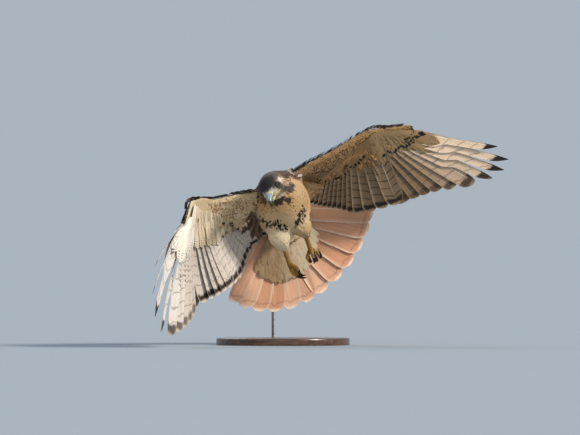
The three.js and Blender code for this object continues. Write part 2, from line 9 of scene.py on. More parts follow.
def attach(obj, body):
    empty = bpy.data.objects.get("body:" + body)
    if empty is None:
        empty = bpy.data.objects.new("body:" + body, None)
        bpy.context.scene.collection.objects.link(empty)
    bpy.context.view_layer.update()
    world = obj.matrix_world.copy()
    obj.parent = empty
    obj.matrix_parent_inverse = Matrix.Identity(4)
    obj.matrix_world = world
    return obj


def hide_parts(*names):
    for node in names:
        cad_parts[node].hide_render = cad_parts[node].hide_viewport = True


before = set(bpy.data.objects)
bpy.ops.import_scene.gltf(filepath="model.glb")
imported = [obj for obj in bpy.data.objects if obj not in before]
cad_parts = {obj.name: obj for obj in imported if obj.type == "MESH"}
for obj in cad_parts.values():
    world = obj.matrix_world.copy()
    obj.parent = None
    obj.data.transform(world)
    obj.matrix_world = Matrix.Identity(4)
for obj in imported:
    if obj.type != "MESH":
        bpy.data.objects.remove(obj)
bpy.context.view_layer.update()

# A red-tailed hawk, life size. Places are worked out in millimetres and stored in metres.
MM = 0.001
DEGREE = math.pi / 180
draw = np.random.default_rng(11)


# Vectors

def vec(*values):
    return np.array(values, float)


def unit(*values):
    v = np.array(values[0] if len(values) == 1 else values, float)
    return v / np.linalg.norm(v)


def units(rows):
    return rows / np.maximum(np.linalg.norm(rows, axis=-1, keepdims=True), 1e-9)


def squared(direction, axis):
    """The part of a direction that stands square to an axis, with length 1."""
    return units(direction - np.sum(direction * axis, axis=-1, keepdims=True) * axis)


def cross(a, b):
    return units(np.cross(a, b))


def squared_off(rows, axis):
    """The rows without what reaches along an axis."""
    return rows - np.outer(rows @ axis, axis)


def along_each(rows, *axes):
    """How far each row reaches along each of some axes."""
    return np.stack([rows @ axis for axis in axes], axis=1)


def mix(a, b, share):
    return a + (b - a) * share


def ease(low, high, value):
    x = np.clip((value - low) / (high - low), 0, 1)
    return x * x * (3 - 2 * x)


def smooth_path(points, shares):
    """A smooth curve through its points, at shares of its length in points."""
    points = np.asarray(points, float)
    count = len(points)
    result = []
    for share in np.atleast_1d(shares):
        place = np.clip(share, 0, 1) * (count - 1)
        i = min(int(place), count - 2)
        t = place - i
        p1, p2 = points[i], points[i + 1]
        p0 = points[i - 1] if i > 0 else 2 * p1 - p2
        p3 = points[i + 2] if i + 2 < count else 2 * p2 - p1
        result.append(0.5 * (2 * p1 + (p2 - p0) * t + (2 * p0 - 5 * p1 + 4 * p2 - p3) * t ** 2
                             + (3 * p1 - p0 - 3 * p2 + p3) * t ** 3))
    return np.array(result)


# Sizes that the bird shares with its frame

TRUNK = vec(0, -60, 307)
BACKWARD = unit(0.08, 0.883, -0.462)
LEFT = squared(unit(0.86, 0.17, 0.475), BACKWARD)
UP = cross(LEFT, BACKWARD)

HEAD = vec(-27, -190, 349)
BILL = unit(-0.06, -0.82, -0.58)
HEAD_LEFT = squared(unit(0.76, -0.42, 0.51), BILL)
HEAD_UP = cross(BILL, HEAD_LEFT)

EYE_RADIUS = 7.6
EYE_ROOM = 8.4
EYE = vec(1, 17.5, 2)

HUMERUS, ULNA, HAND = 110, 125, 88
PRIMARY_LENGTHS = [239, 243, 249, 259, 278, 309, 336, 342, 327, 270]
SECONDARIES, TERTIALS = 13, 3

# Wings: pose of the hand, painted light on the feathers (the left wing's colours darkened and warmed as
# painted shade, with a painted glow on its primaries and a painted fall of light from its outer to its inner
# secondaries; the right wing's kept pale as if sunlit), roots and tips of the armpit's feathers, fan of the
# primaries in degrees, and the line of the tips of the secondaries
WINGS = {
    "left": dict(
        side=1, wrist=vec(193.5, -103, 474.7), outward=unit(0.9, 0.37, 0.21),
        # Painted light: fall darkens the outer secondaries and lightens the inner ones, and the shades darken
        # and warm the under side as painted shade, with a painted glow of backlight on the primaries
        backward=unit(-0.07, 0.61, -0.79), fall=(0.62, 1.4),
        shade=vec(0.58, 0.42, 0.27), hand_shade=vec(0.95, 0.78, 0.62),
        coat_shade=vec(0.60, 0.42, 0.22), row_shade=vec(0.40, 0.27, 0.14), fuller=9,
        armpit=[(50, -112, 366), (54, -66, 345)], armpit_tips=[(80, -22, 348), (62, 0, 324)],
        first=63, last=26, fan_ease=0.03, lift=-0.005, twist=8, alula_raise=-0.04, alula_turn=0.2,
        trailing=[(258.5, 42, 317), (180, 48, 297.7), (135, 58, 306.5), (100, 62, 312), (70, 54, 320),
                  (48, 40, 327)],
    ),
    "right": dict(
        side=-1, wrist=vec(-202.5, -205, 315), outward=unit(-0.15, -0.89, -0.44),
        # Painted light: fall and shades keep the right wing's under side pale as if sunlit, its primaries a
        # little darker
        backward=unit(0.13, 0.42, -0.9), fall=(1.0, 1.0),
        shade=vec(0.96, 0.95, 0.96), hand_shade=vec(0.80, 0.79, 0.79),
        coat_shade=vec(0.92, 0.885, 0.82), row_shade=vec(1.0, 0.98, 0.94), fuller=5,
        armpit=[(-58, -112, 324), (-46, -66, 298)], armpit_tips=[(-88, -24, 262), (-56, 0, 236)],
        first=84, last=-6, fan_ease=0.11, lift=0.08, twist=34, alula_raise=0.08, alula_turn=0,
        trailing=[(-174.8, -124, 97.5), (-131, -104, 121.5), (-96, -56, 152), (-80, -2, 197), (-63, 10, 226),
                  (-54, 14, 240)],
    ),
}

TAIL = vec(-19, 25, 313)
TAIL_ALONG = unit(0.4, 0.37, -0.84)
TAIL_LEFT = squared(unit(0.8, 0.31, 0.51), TAIL_ALONG)
TAIL_BELLY = cross(TAIL_ALONG, TAIL_LEFT)
TAIL_REACH, TAIL_SPREAD, TAIL_FEATHERS = 245, 112 * DEGREE, 12

LEGS = {
    "left": dict(hip=vec(34, -76, 284), ankle=vec(50, -70, 250), toes=vec(63, -48, 212),
                 curl=unit(0.1, -0.9, 0.1), reach=17, clench=138, hook=92, splay=1.0),
    "right": dict(hip=vec(-14, -84, 262), ankle=vec(1, -70, 220), toes=vec(17, -44, 178),
                  curl=unit(0.55, -0.8, 0.1), reach=27, clench=74, hook=48, splay=0.34),
}
# The three front toes: place across the foot, thickness, share of the full reach
TOES = [(-13, 5.0, 0.88), (-1, 5.2, 1.0), (13, 4.8, 0.88)]
REAR_TOE_ASIDE = 6.5

BASE_RADIUS, BASE_THICK = 150, 16


def head_point(forward, aside, up):
    return HEAD + BILL * forward + HEAD_LEFT * aside + HEAD_UP * up


# Camera, light and floor

CAMERA = vec(0.01575, -20, 0.2869)
VIEW_WIDTH = 1.305
SENSOR_WIDTH = 36
BACKDROP = vec(0.40, 0.46, 0.52)
FLOOR_RINGS = (0.5, 3, 12, 40, 140)
# Lamps: where they stand, strength, how wide the light spreads in degrees, tint
LAMPS = {
    "key": (unit(0.76, -0.36, 0.54), 3.2, 12, vec(1.0, 0.94, 0.86)),
    "front": (unit(0.0, -0.96, 0.25), 0.6, 60, vec(1.0, 0.93, 0.84)),
    "back": (unit(-0.2, 0.75, 0.63), 0.7, 30, vec(0.96, 0.98, 1.0)),
}


def set_stage():
    scene = bpy.context.scene
    camera = bpy.data.objects.new("camera", bpy.data.cameras.new("camera"))
    camera.location = CAMERA
    camera.rotation_euler = (math.pi / 2, 0, 0)
    camera.data.sensor_width = SENSOR_WIDTH
    camera.data.lens = SENSOR_WIDTH * -CAMERA[1] / VIEW_WIDTH
    camera.data.clip_end = 100
    scene.collection.objects.link(camera)
    scene.camera = camera

    scene.world = bpy.data.worlds.new("room")
    scene.world.use_nodes = True
    scene.world.node_tree.nodes["Background"].inputs["Color"].default_value = (*BACKDROP, 1)
    scene.view_settings.view_transform = "Standard"
    for name, (place, strength, spread, tint) in LAMPS.items():
        lamp = bpy.data.lights.new(name, "SUN")
        lamp.energy = strength
        lamp.angle = spread * DEGREE
        lamp.color = tint
        thing = bpy.data.objects.new(name, lamp)
        thing.location = place * 2
        thing.rotation_euler = Vector(-place).to_track_quat("-Z", "Y").to_euler()
        scene.collection.objects.link(thing)

    angles = np.linspace(0, 2 * math.pi, 64)[:-1]
    rings = [np.array([(math.cos(a) * r, math.sin(a) * r, 0.0) for a in angles]) for r in FLOOR_RINGS]
    count = len(angles)
    faces = [tuple(range(count))] + [(a, d, c, b) for a, b, c, d in belts(len(rings), count)]
    mesh = bpy.data.meshes.new("floor")
    mesh.from_pydata(np.concatenate(rings).tolist(), [], faces)
    floor = bpy.data.objects.new("floor", mesh)
    scene.collection.objects.link(floor)
    # The floor takes the colour at which it shows as bright as the room behind it
    from_lamps = sum(tint * strength * place[2] / math.pi for place, strength, _, tint in LAMPS.values())
    pale = BACKDROP / (BACKDROP + from_lamps)
    paint = Paint("pale_floor")
    color = paint.blend(paint.noise(2, 2), tuple(pale * 0.99), tuple(pale * 1.01))
    mesh.materials.append(paint.finish(color, 0.95, specular_ior_level=0.0))


# Materials

def maths(operation, turned=False):
    """A method that adds the Math node of that name."""
    def method(self, other=None):
        pair = (other, self) if turned else (self, other)
        values = {place: value for place, value in enumerate(pair) if value is not None}
        return self.paint.number("ShaderNodeMath", {"operation": operation}, values)
    return method


class Signal:
    """A number that varies over a surface, with the usual operators."""

    def __init__(self, paint, socket):
        self.paint = paint
        self.socket = socket

    __add__, __radd__ = maths("ADD"), maths("ADD", True)
    __sub__, __rsub__ = maths("SUBTRACT"), maths("SUBTRACT", True)
    __mul__, __rmul__ = maths("MULTIPLY"), maths("MULTIPLY", True)
    __truediv__, __rtruediv__ = maths("DIVIDE"), maths("DIVIDE", True)
    __pow__, __rpow__ = maths("POWER"), maths("POWER", True)
    least, most = maths("MINIMUM"), maths("MAXIMUM")
    size, fraction, wave = maths("ABSOLUTE"), maths("FRACT"), maths("SINE")

    def between(self, low, high):
        """Rises smoothly from 0 at low to 1 at high."""
        settings = {"interpolation_type": "SMOOTHSTEP"}
        return self.paint.number("ShaderNodeMapRange", settings, {0: self, 1: low, 2: high, 3: 0.0, 4: 1.0})


PAINTS = {}


class Paint:
    """One material, and the nodes that it is made of."""

    def __init__(self, name):
        self.material = bpy.data.materials.new("hawk_" + name)
        PAINTS[name] = self.material
        self.material.use_nodes = True
        self.tree = self.material.node_tree
        self.shader = self.tree.nodes["Principled BSDF"]
        self.cache = {}

    def node(self, kind, settings=None, values=None):
        made = self.tree.nodes.new(kind)
        for key, value in (settings or {}).items():
            setattr(made, key, value)
        for key, value in (values or {}).items():
            self.put(made.inputs[key], value)
        return made

    def put(self, socket, value):
        """Links a socket to a value, or sets it to one, or to a colour in six hexadecimal digits."""
        if isinstance(value, str):
            value = tuple(srgb(value))
        if isinstance(value, Signal):
            value = value.socket
        if isinstance(value, bpy.types.NodeSocket):
            self.tree.links.new(value, socket)
        elif isinstance(value, (tuple, list)) and socket.type == "RGBA" and len(value) == 3:
            socket.default_value = (*value, 1)
        else:
            socket.default_value = value

    def number(self, kind, settings=None, values=None, output=0):
        return Signal(self, self.node(kind, settings, values).outputs[output])

    def attribute(self, name):
        """Three numbers stored on the mesh."""
        if name not in self.cache:
            read = self.node("ShaderNodeAttribute", {"attribute_name": name})
            split = self.node("ShaderNodeSeparateXYZ", None, {0: read.outputs["Vector"]})
            self.cache[name] = [Signal(self, split.outputs[i]) for i in range(3)]
        return self.cache[name]

    def tint(self, name):
        """A colour stored on the mesh."""
        return self.node("ShaderNodeAttribute", {"attribute_name": name}).outputs["Color"]

    def place(self):
        return self.node("ShaderNodeTexCoord").outputs["Object"]

    def vector(self, operation, values):
        return self.node("ShaderNodeVectorMath", {"operation": operation}, values).outputs[0]

    def noise(self, scale, detail=2, stretch=None, where=None):
        where = where or self.place()
        if stretch:
            where = self.vector("MULTIPLY", {0: where, 1: stretch})
        values = {"Vector": where, "Scale": scale, "Detail": detail}
        return self.number("ShaderNodeTexNoise", None, values, "Fac")

    def blend(self, share, first, second):
        values = {0: share, 6: first, 7: second}
        return self.node("ShaderNodeMix", {"data_type": "RGBA"}, values).outputs[2]

    def scale(self, color, share):
        """A colour made darker or lighter by a number."""
        return self.vector("SCALE", {0: color, "Scale": share})

    def bump(self, height, strength, distance):
        values = {"Height": height, "Strength": strength, "Distance": distance}
        return self.node("ShaderNodeBump", None, values).outputs[0]

    def finish(self, color=None, roughness=None, normal=None, **plain):
        for key, value in {"Base Color": color, "Roughness": roughness, "Normal": normal}.items():
            if value is not None:
                self.put(self.shader.inputs[key], value)
        for key, value in plain.items():
            self.put(self.shader.inputs[key.replace("_", " ").title().replace("Ior", "IOR")], value)
        return self.material


def srgb(text):
    """A colour written as six hexadecimal digits, as linear light."""
    values = np.array([int(text[i:i + 2], 16) / 255 for i in (0, 2, 4)])
    return np.where(values <= 0.04045, values / 12.92, ((values + 0.055) / 1.055) ** 2.4)


def light_of(color):
    """Linear light of a colour, which may be six hexadecimal digits or linear light already."""
    return srgb(color) if isinstance(color, str) else color


CREAM = srgb("d9c8a9")
BUFF = srgb("b89468")
WHITE = srgb("efe8da")
BROWN = srgb("4b372a")
DARK = srgb("241a15")
BLACK = srgb("120e0c")
BRICK = srgb("a9542f")
SLATE = srgb("36302f")
TOP_RIM = srgb("8e6a4a")


def feather_paint(name, gloss=0.62, line=False):
    """Paints a feather by the marks stored on it: how strong its bars, dark band, middle drop, pale fringe
    and shaft are, how many bars it has, where they start, and how far they break into dots."""
    paint = Paint(name)
    across, along, _ = paint.attribute("vane")
    bars, band, drop = paint.attribute("marks")
    fringe, shaft, chance = paint.attribute("edges")
    count, start, dots = paint.attribute("shape")
    aside = (across * 2 - 1).size()
    wobble = paint.noise(70, 2) - 0.5
    cycle = (along * count + chance * 0.8 + wobble * 0.5 + aside * 0.5).fraction()
    bar = 1 - (cycle - 0.5).size().between(0.03, 0.10 + dots * 0.14)
    pair = 1 - (aside - 0.45).size().between(0.12, 0.30)
    bar = bar * (1 - dots + dots * pair) * bars * (along - start).between(0.0, 0.06)
    edge = along + wobble * 0.06 + aside * 0.03
    dark_band = (edge - fringe * 0.04).between(0.875, 0.91) * band
    if line:
        dark_band = (1 - (edge - 0.935).size().between(0.004, 0.016)) * band
    around = (((along - 0.84) / (drop * 0.17 + 0.08)) ** 2.0 + (aside / (drop * 0.58 + 0.3)) ** 2.0) ** 0.5
    middle = (1 - (around + wobble * 0.3).between(0.75, 1.0)) * drop.between(0.0, 0.1)
    color = paint.blend(bar.most(dark_band).most(middle).least(1.0), paint.tint("ground"), paint.tint("spot"))
    rim = along.between(0.955, 0.99).most(aside.between(0.78, 1.0) * 0.55) * fringe
    color = paint.blend(rim, color, paint.tint("rim"))
    quill = (1 - aside.between(0.02, 0.07)) * shaft * (1 - along.between(0.7, 0.95))
    color = paint.blend(quill, color, "e6d8bd")
    strand = paint.node("ShaderNodeCombineXYZ", None, {0: across * 16, 1: along * 2.5, 2: chance * 40})
    streak = paint.noise(1, 3, where=strand.outputs[0])
    color = paint.scale(color, paint.noise(200, 3) * 0.22 + streak * 0.5 + 0.64)
    barbs = ((along * 4.0 - aside * 0.6) * 150 + wobble * 6).wave() * 0.5 + 0.5
    return paint.finish(color, gloss, paint.bump(barbs * 0.5 + paint.noise(420, 2) * 0.6, 0.35, 0.0005),
                        specular_ior_level=0.2, sheen_weight=0.1, sheen_roughness=0.5)


# What each feather stores: colours, and numbers in threes
COLORS = ("ground", "spot", "rim")
NUMBERS = {"marks": ("bars", "band", "drop"), "edges": ("fringe", "shaft", "chance"),
           "shape": ("count", "start", "dots")}
PLAIN_FEATHER = dict(spot=DARK, rim=WHITE, bars=0, band=0, drop=0, fringe=0, shaft=0, chance=0, count=9,
                     start=0.15, dots=0)


# Mesh making

SHARP = 70 * DEGREE


def place_piece(name, mesh, material):
    mesh.materials.append(material)
    piece = bpy.data.objects.new(name, mesh)
    bpy.context.scene.collection.objects.link(piece)
    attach(piece, "root")
    return piece


def make_object(name, points, faces, material, smooth=True):
    mesh = bpy.data.meshes.new(name)
    mesh.from_pydata((np.asarray(points) * MM).tolist(), [], [tuple(int(i) for i in f) for f in faces])
    if smooth:
        mesh.shade_smooth()
    return place_piece(name, mesh, material)


def quads_object(name, points, quads, material):
    """A mesh of four-sided faces from arrays, for the many feathers."""
    mesh = bpy.data.meshes.new(name)
    mesh.vertices.add(len(points))
    mesh.vertices.foreach_set("co", (points * MM).astype(np.float32).ravel())
    mesh.loops.add(quads.size)
    mesh.loops.foreach_set("vertex_index", quads.astype(np.int32).ravel())
    mesh.polygons.add(len(quads))
    mesh.polygons.foreach_set("loop_start", np.arange(0, quads.size, 4, dtype=np.int32))
    mesh.polygons.foreach_set("loop_total", np.full(len(quads), 4, dtype=np.int32))
    mesh.update(calc_edges=True)
    mesh.shade_smooth()
    mesh.set_sharp_from_angle(angle=SHARP)
    return place_piece(name, mesh, material)


def store(mesh, name, rows):
    """Keeps a colour or three numbers with each point of a mesh."""
    kind, field = ("FLOAT_COLOR", "color") if name in COLORS else ("FLOAT_VECTOR", "vector")
    if name in COLORS:
        rows = np.concatenate([rows, np.ones((len(rows), 1))], axis=1)
    mesh.attributes.new(name, kind, "POINT").data.foreach_set(field, rows.astype(np.float32).ravel())


def oval(centre, across, wide, up, high, low, count):
    angles = np.linspace(0, 2 * math.pi, count, endpoint=False)
    rise = np.where(np.sin(angles) > 0, high, low)
    return centre + np.outer(wide * np.cos(angles), across) + np.outer(rise * np.sin(angles), up)


def belts(rings, count, closed=False):
    """Four-sided faces between rings of equal count."""
    faces = []
    for ring in range(rings if closed else rings - 1):
        here, after = ring * count, (ring + 1) % rings * count
        for side in range(count):
            beside = (side + 1) % count
            faces.append((here + side, here + beside, after + beside, after + side))
    return faces


def loft(rings):
    """Points and faces of a closed surface through rings of equal count."""
    count = len(rings[0])
    last = (len(rings) - 1) * count
    faces = belts(len(rings), count)
    faces.append(tuple(range(count))[::-1])
    faces.append(tuple(range(last, last + count)))
    return np.concatenate(rings), faces


def limb(path, radii, count=14, steps=None):
    """A round limb along a curve, its radii spread evenly over the length."""
    steps = steps or len(radii)
    shares = np.linspace(0, 1, steps)
    centres = smooth_path(path, shares)
    sizes = np.interp(shares, np.linspace(0, 1, len(radii)), radii)
    tangents = units(np.gradient(centres, axis=0))
    aside = squared(vec(0, 1, 0) if abs(tangents[0][2]) > 0.9 else vec(0, 0, 1), tangents[0])
    rings = []
    for centre, along, size in zip(centres, tangents, sizes):
        aside = squared(aside, along)
        rings.append(oval(centre, aside, size, cross(along, aside), size, size, count))
    return loft(rings)


def together(shapes):
    points, faces, start = [], [], 0
    for p, f in shapes:
        points.append(p)
        faces += [tuple(i + start for i in face) for face in f]
        start += len(p)
    return np.concatenate(points), faces


# Wings: bones and the rows of feathers that stand on them

def wing_frame(pose):
    side = pose["side"]
    shoulder = TRUNK - BACKWARD * 85 + LEFT * side * 37 + UP * 25
    wrist, outward = pose["wrist"], pose["outward"]
    backward = squared(pose["backward"], outward)
    up = cross(outward, backward) if side > 0 else cross(backward, outward)
    reach = np.linalg.norm(wrist - shoulder)
    arm_out = unit(wrist - shoulder)
    arm_back = squared(BACKWARD, arm_out)
    foot = (HUMERUS ** 2 - ULNA ** 2 + reach ** 2) / (2 * reach)
    elbow = shoulder + arm_out * foot + arm_back * math.sqrt(HUMERUS ** 2 - foot ** 2)
    arm_up = cross(arm_out, arm_back) if side > 0 else cross(arm_back, arm_out)
    return {**pose, "shoulder": shoulder, "elbow": elbow, "backward": backward, "up": up,
            "arm_out": arm_out, "arm_back": arm_back, "arm_up": arm_up}


# The first primary that ends in a finger, and a notch that lies beyond the tip
FIRST_FINGER = 6
NO_NOTCH = 2


def primaries(wing):
    feathers = []
    for index, length in enumerate(PRIMARY_LENGTHS):
        share = index / 9
        turn = share + wing["fan_ease"] * share * (1 - share)
        angle = mix(wing["first"], wing["last"], turn) * DEGREE
        along = unit(wing["outward"] * math.cos(angle) + wing["backward"] * math.sin(angle)
                     + wing["up"] * wing["lift"])
        base = wing["wrist"] + wing["outward"] * mix(8, HAND, share) + wing["backward"] * 3
        # Each primary's colours carry the wing's painted light: painted shade at the inner ones, the hand's
        # painted light at the outer ones
        feathers.append(dict(
            root=base - along * 6 + wing["backward"] * 9 * share ** 2, tip=base + along * length,
            up=wing["up"], shade=mix(wing["shade"] * wing["fall"][0], wing["hand_shade"], ease(2, 8, index)),
            inner=25, outer=mix(11, 6, share), tilt=mix(8, wing["twist"], min(1, share * 2)) * DEGREE,
            notch=mix(0.62, 0.44, (index - FIRST_FINGER) / 3) if index >= FIRST_FINGER else NO_NOTCH,
            arch=6, sweep=mix(0, -6, share), hand=1.0, order=index))
    row = in_row(feathers[::-1])[::-1]
    row[0]["inner"] = 34
    return row


def secondaries(wing):
    count = SECONDARIES + TERTIALS
    tips = smooth_path(wing["trailing"], np.linspace(0, 1, count))
    feathers = []
    for index in range(count):
        on_forearm = min(1, index / (SECONDARIES - 1))
        on_upper_arm = max(0, index - SECONDARIES + 1) / (TERTIALS + 2)
        bone = mix(mix(wing["wrist"], wing["elbow"], on_forearm), wing["shoulder"], on_upper_arm)
        up = unit(mix(wing["up"], wing["arm_up"], min(1, on_forearm * 1.2)))
        along = unit(tips[index] - bone)
        # The secondaries take the wing's painted shade, scaled across the row by its painted fall of light
        feathers.append(dict(
            root=bone + along * 4, tip=tips[index], up=up, inner=24, outer=10, tilt=5 * DEGREE,
            shade=wing["shade"] * mix(*wing["fall"], index / count), notch=NO_NOTCH, arch=8, sweep=0,
            hand=0.0, order=index))
    row = in_row(feathers)
    row[-1]["inner"] = 26 if wing["side"] > 0 else 64
    row[0]["outer"] = 20
    return row


def in_row(feathers):
    last = len(feathers) - 1
    result = []
    for index, feather in enumerate(feathers):
        ahead, behind = feathers[max(0, index - 1)], feathers[min(last, index + 1)]
        spacing = np.linalg.norm(ahead["tip"] - behind["tip"]) / (1 if index in (0, last) else 2)
        outward = unit(ahead["root"] - behind["root"])
        result.append({**feather, "outward": outward,
                       "inner": min(feather["inner"], max(0.95 * spacing + 5, 16)),
                       "outer": min(feather["outer"], max(0.35 * spacing + 2, 7))})
    return result


def lay_flat(row):
    """Turns each feather about its shaft into the surface that its neighbours span."""
    ups = []
    for index, feather in enumerate(row):
        ahead, behind = row[max(0, index - 1)], row[min(len(row) - 1, index + 1)]
        along = unit(feather["tip"] - feather["root"])
        low, high = (mix(other["root"], other["tip"], 0.7) for other in (behind, ahead))
        up = cross(along, squared(high - low, along))
        ups.append(up if up @ feather["up"] > 0 else -up)
    for index, feather in enumerate(row):
        near = ups[max(0, index - 1)] + ups[index] * 2 + ups[min(len(row) - 1, index + 1)]
        loose = ease(0, 3, feather["order"]) if feather["hand"] else 0
        feather["up"] = unit(mix(feather["up"], unit(near), mix(0.9, 0.35, loose)))


def axes(feather):
    along = unit(feather["tip"] - feather["root"])
    across = squared(feather["outward"], along)
    return along, across, squared(squared(feather["up"], along), across)


def shaft_points(feather, shares):
    _, across, rise = axes(feather)
    bow = 4 * shares * (1 - shares)
    line = feather["root"] + np.outer(shares, feather["tip"] - feather["root"])
    return line + np.outer(feather["arch"] * bow, rise) + np.outer(feather["sweep"] * bow, across)


def vane_width(share, notch, blunt, pointed):
    opening = np.minimum(1, 0.35 + 0.65 * ease(0, 0.3, share))
    x = np.clip(share - blunt, 0, 1) / (1 - blunt)
    tip = mix(np.sqrt(1 - 0.97 * x ** 2), 1 - 0.93 * x ** 1.6, pointed)
    finger = 1 - 0.46 * ease(notch - 0.07, notch + 0.07, share)
    return opening * tip * finger


VANE_THICK = 0.6


def long_vane(feather, stations, columns):
    """One large feather: a thin closed vane with a raised shaft, its outer edge higher than its inner."""
    _, across, rise = axes(feather)
    shares = 1 - (1 - np.linspace(0, 1, stations)) ** 1.55
    outermost = ease(6, 9, feather["order"]) * feather["hand"]
    flat_tilt = mix(min(feather["tilt"], 7 * DEGREE), feather["tilt"], outermost)
    tilt = mix(flat_tilt, feather["tilt"], ease(0.3, 0.65, shares))[:, None]
    edge = (across * np.cos(tilt) + rise * np.sin(tilt))[:, None, :]
    face = (rise * np.cos(tilt) - across * np.sin(tilt))[:, None, :]
    spine = shaft_points(feather, shares)
    length = np.linalg.norm(feather["tip"] - feather["root"])
    pointed = ease(4, 7, feather["order"]) * feather["hand"]
    blunt = 1 - (feather["inner"] + feather["outer"]) * mix(0.62, 1.5, pointed) / length
    width = vane_width(shares, feather["notch"], blunt, pointed)
    ragged = draw.normal(0, 0.012, stations) * 0.5
    t = np.linspace(-1, 1, columns)
    t = np.sign(t) * np.abs(t) ** 1.15
    half = np.where(t < 0, feather["inner"], feather["outer"])
    reach = np.outer(width, half * np.abs(t)) * np.sign(t)
    reach += np.outer(ragged * width, np.where(np.abs(t) > 0.9, half * np.sign(t), 0))
    camber = -np.outer(width, np.abs(t) ** 2 * np.where(t < 0, 2.6, 1.2))
    shaft = np.outer(mix(1.0, 0.25, shares), np.maximum(0, 1 - np.abs(t) * 9))
    body = np.outer(mix(1, 0.5, shares), mix(0.5, 0.12, np.abs(t))) * VANE_THICK
    centre = spine[:, None, :] + reach[..., None] * edge + camber[..., None] * face
    top = centre + (body / 2 + shaft * 0.5)[..., None] * face
    bottom = centre - (body / 2 + shaft * 0.9)[..., None] * face
    across, along = np.meshgrid(np.linspace(0, 1, columns), shares)
    return top, bottom, along, across


def grid_quads(rows, columns, start, flip):
    a = (np.arange(rows - 1)[:, None] * columns + np.arange(columns - 1)[None, :]).ravel() + start
    quads = np.stack([a, a + 1, a + 1 + columns, a + columns], axis=1)
    return quads[:, ::-1] if flip else quads


def rim_quads(rows, columns, top, bottom):
    grid = np.arange(rows * columns).reshape(rows, columns)
    loop = np.concatenate([grid[0, :], grid[1:, -1], grid[-1, -2::-1], grid[-2:0:-1, 0]])
    after = np.roll(loop, -1)
    return np.stack([loop + top, loop + bottom, after + bottom, after + top], axis=1)


def vane_set(name, feathers, looks, material, stations=30, columns=13):
    """Joins large feathers into one piece. Each has its marks and its own patch of the bake map."""
    points, quads, uv = [], [], []
    stored = {key: [] for key in ("vane", *COLORS, *NUMBERS)}
    size = stations * columns
    cells = math.ceil(math.sqrt(len(feathers)))
    for index, feather in enumerate(feathers):
        start = index * 2 * size
        top, bottom, along, across = long_vane(feather, stations, columns)
        points += [top.reshape(-1, 3), bottom.reshape(-1, 3)]
        outside = np.cross(top[0, 1] - top[0, 0], top[1, 0] - top[0, 0])
        flip = np.dot(outside, top[0, 0] - bottom[0, 0]) < 0
        quads.append(grid_quads(stations, columns, start, flip))
        quads.append(grid_quads(stations, columns, start + size, not flip))
        edge = rim_quads(stations, columns, start, start + size)
        quads.append(edge[:, ::-1] if flip else edge)
        for below in (0.0, 1.0):
            look = {**PLAIN_FEATHER, **looks(feather, below)}
            look.update({key: [look[name] for name in names] for key, names in NUMBERS.items()})
            stored["vane"].append(np.stack([across.ravel(), along.ravel(), np.full(size, below)], axis=1))
            for key in (*COLORS, *NUMBERS):
                stored[key].append(np.broadcast_to(np.asarray(look[key], float), (size, 3)))
            uv.append(np.stack([(index % cells + 0.05 + across.ravel() * 0.42 + 0.5 * below) / cells,
                                (index // cells + 0.05 + along.ravel() * 0.9) / cells], axis=1))
    piece = quads_object(name, np.concatenate(points), np.concatenate(quads), material)
    for key, rows in stored.items():
        store(piece.data, key, np.concatenate(rows))
    bake_map(piece.data, np.concatenate(uv))
    return piece


def bake_map(mesh, uv):
    layer = mesh.uv_layers.new(name="OFBake")
    corner = np.empty(len(mesh.loops), np.int32)
    mesh.loops.foreach_get("vertex_index", corner)
    layer.data.foreach_set("uv", uv[corner].astype(np.float32).ravel())


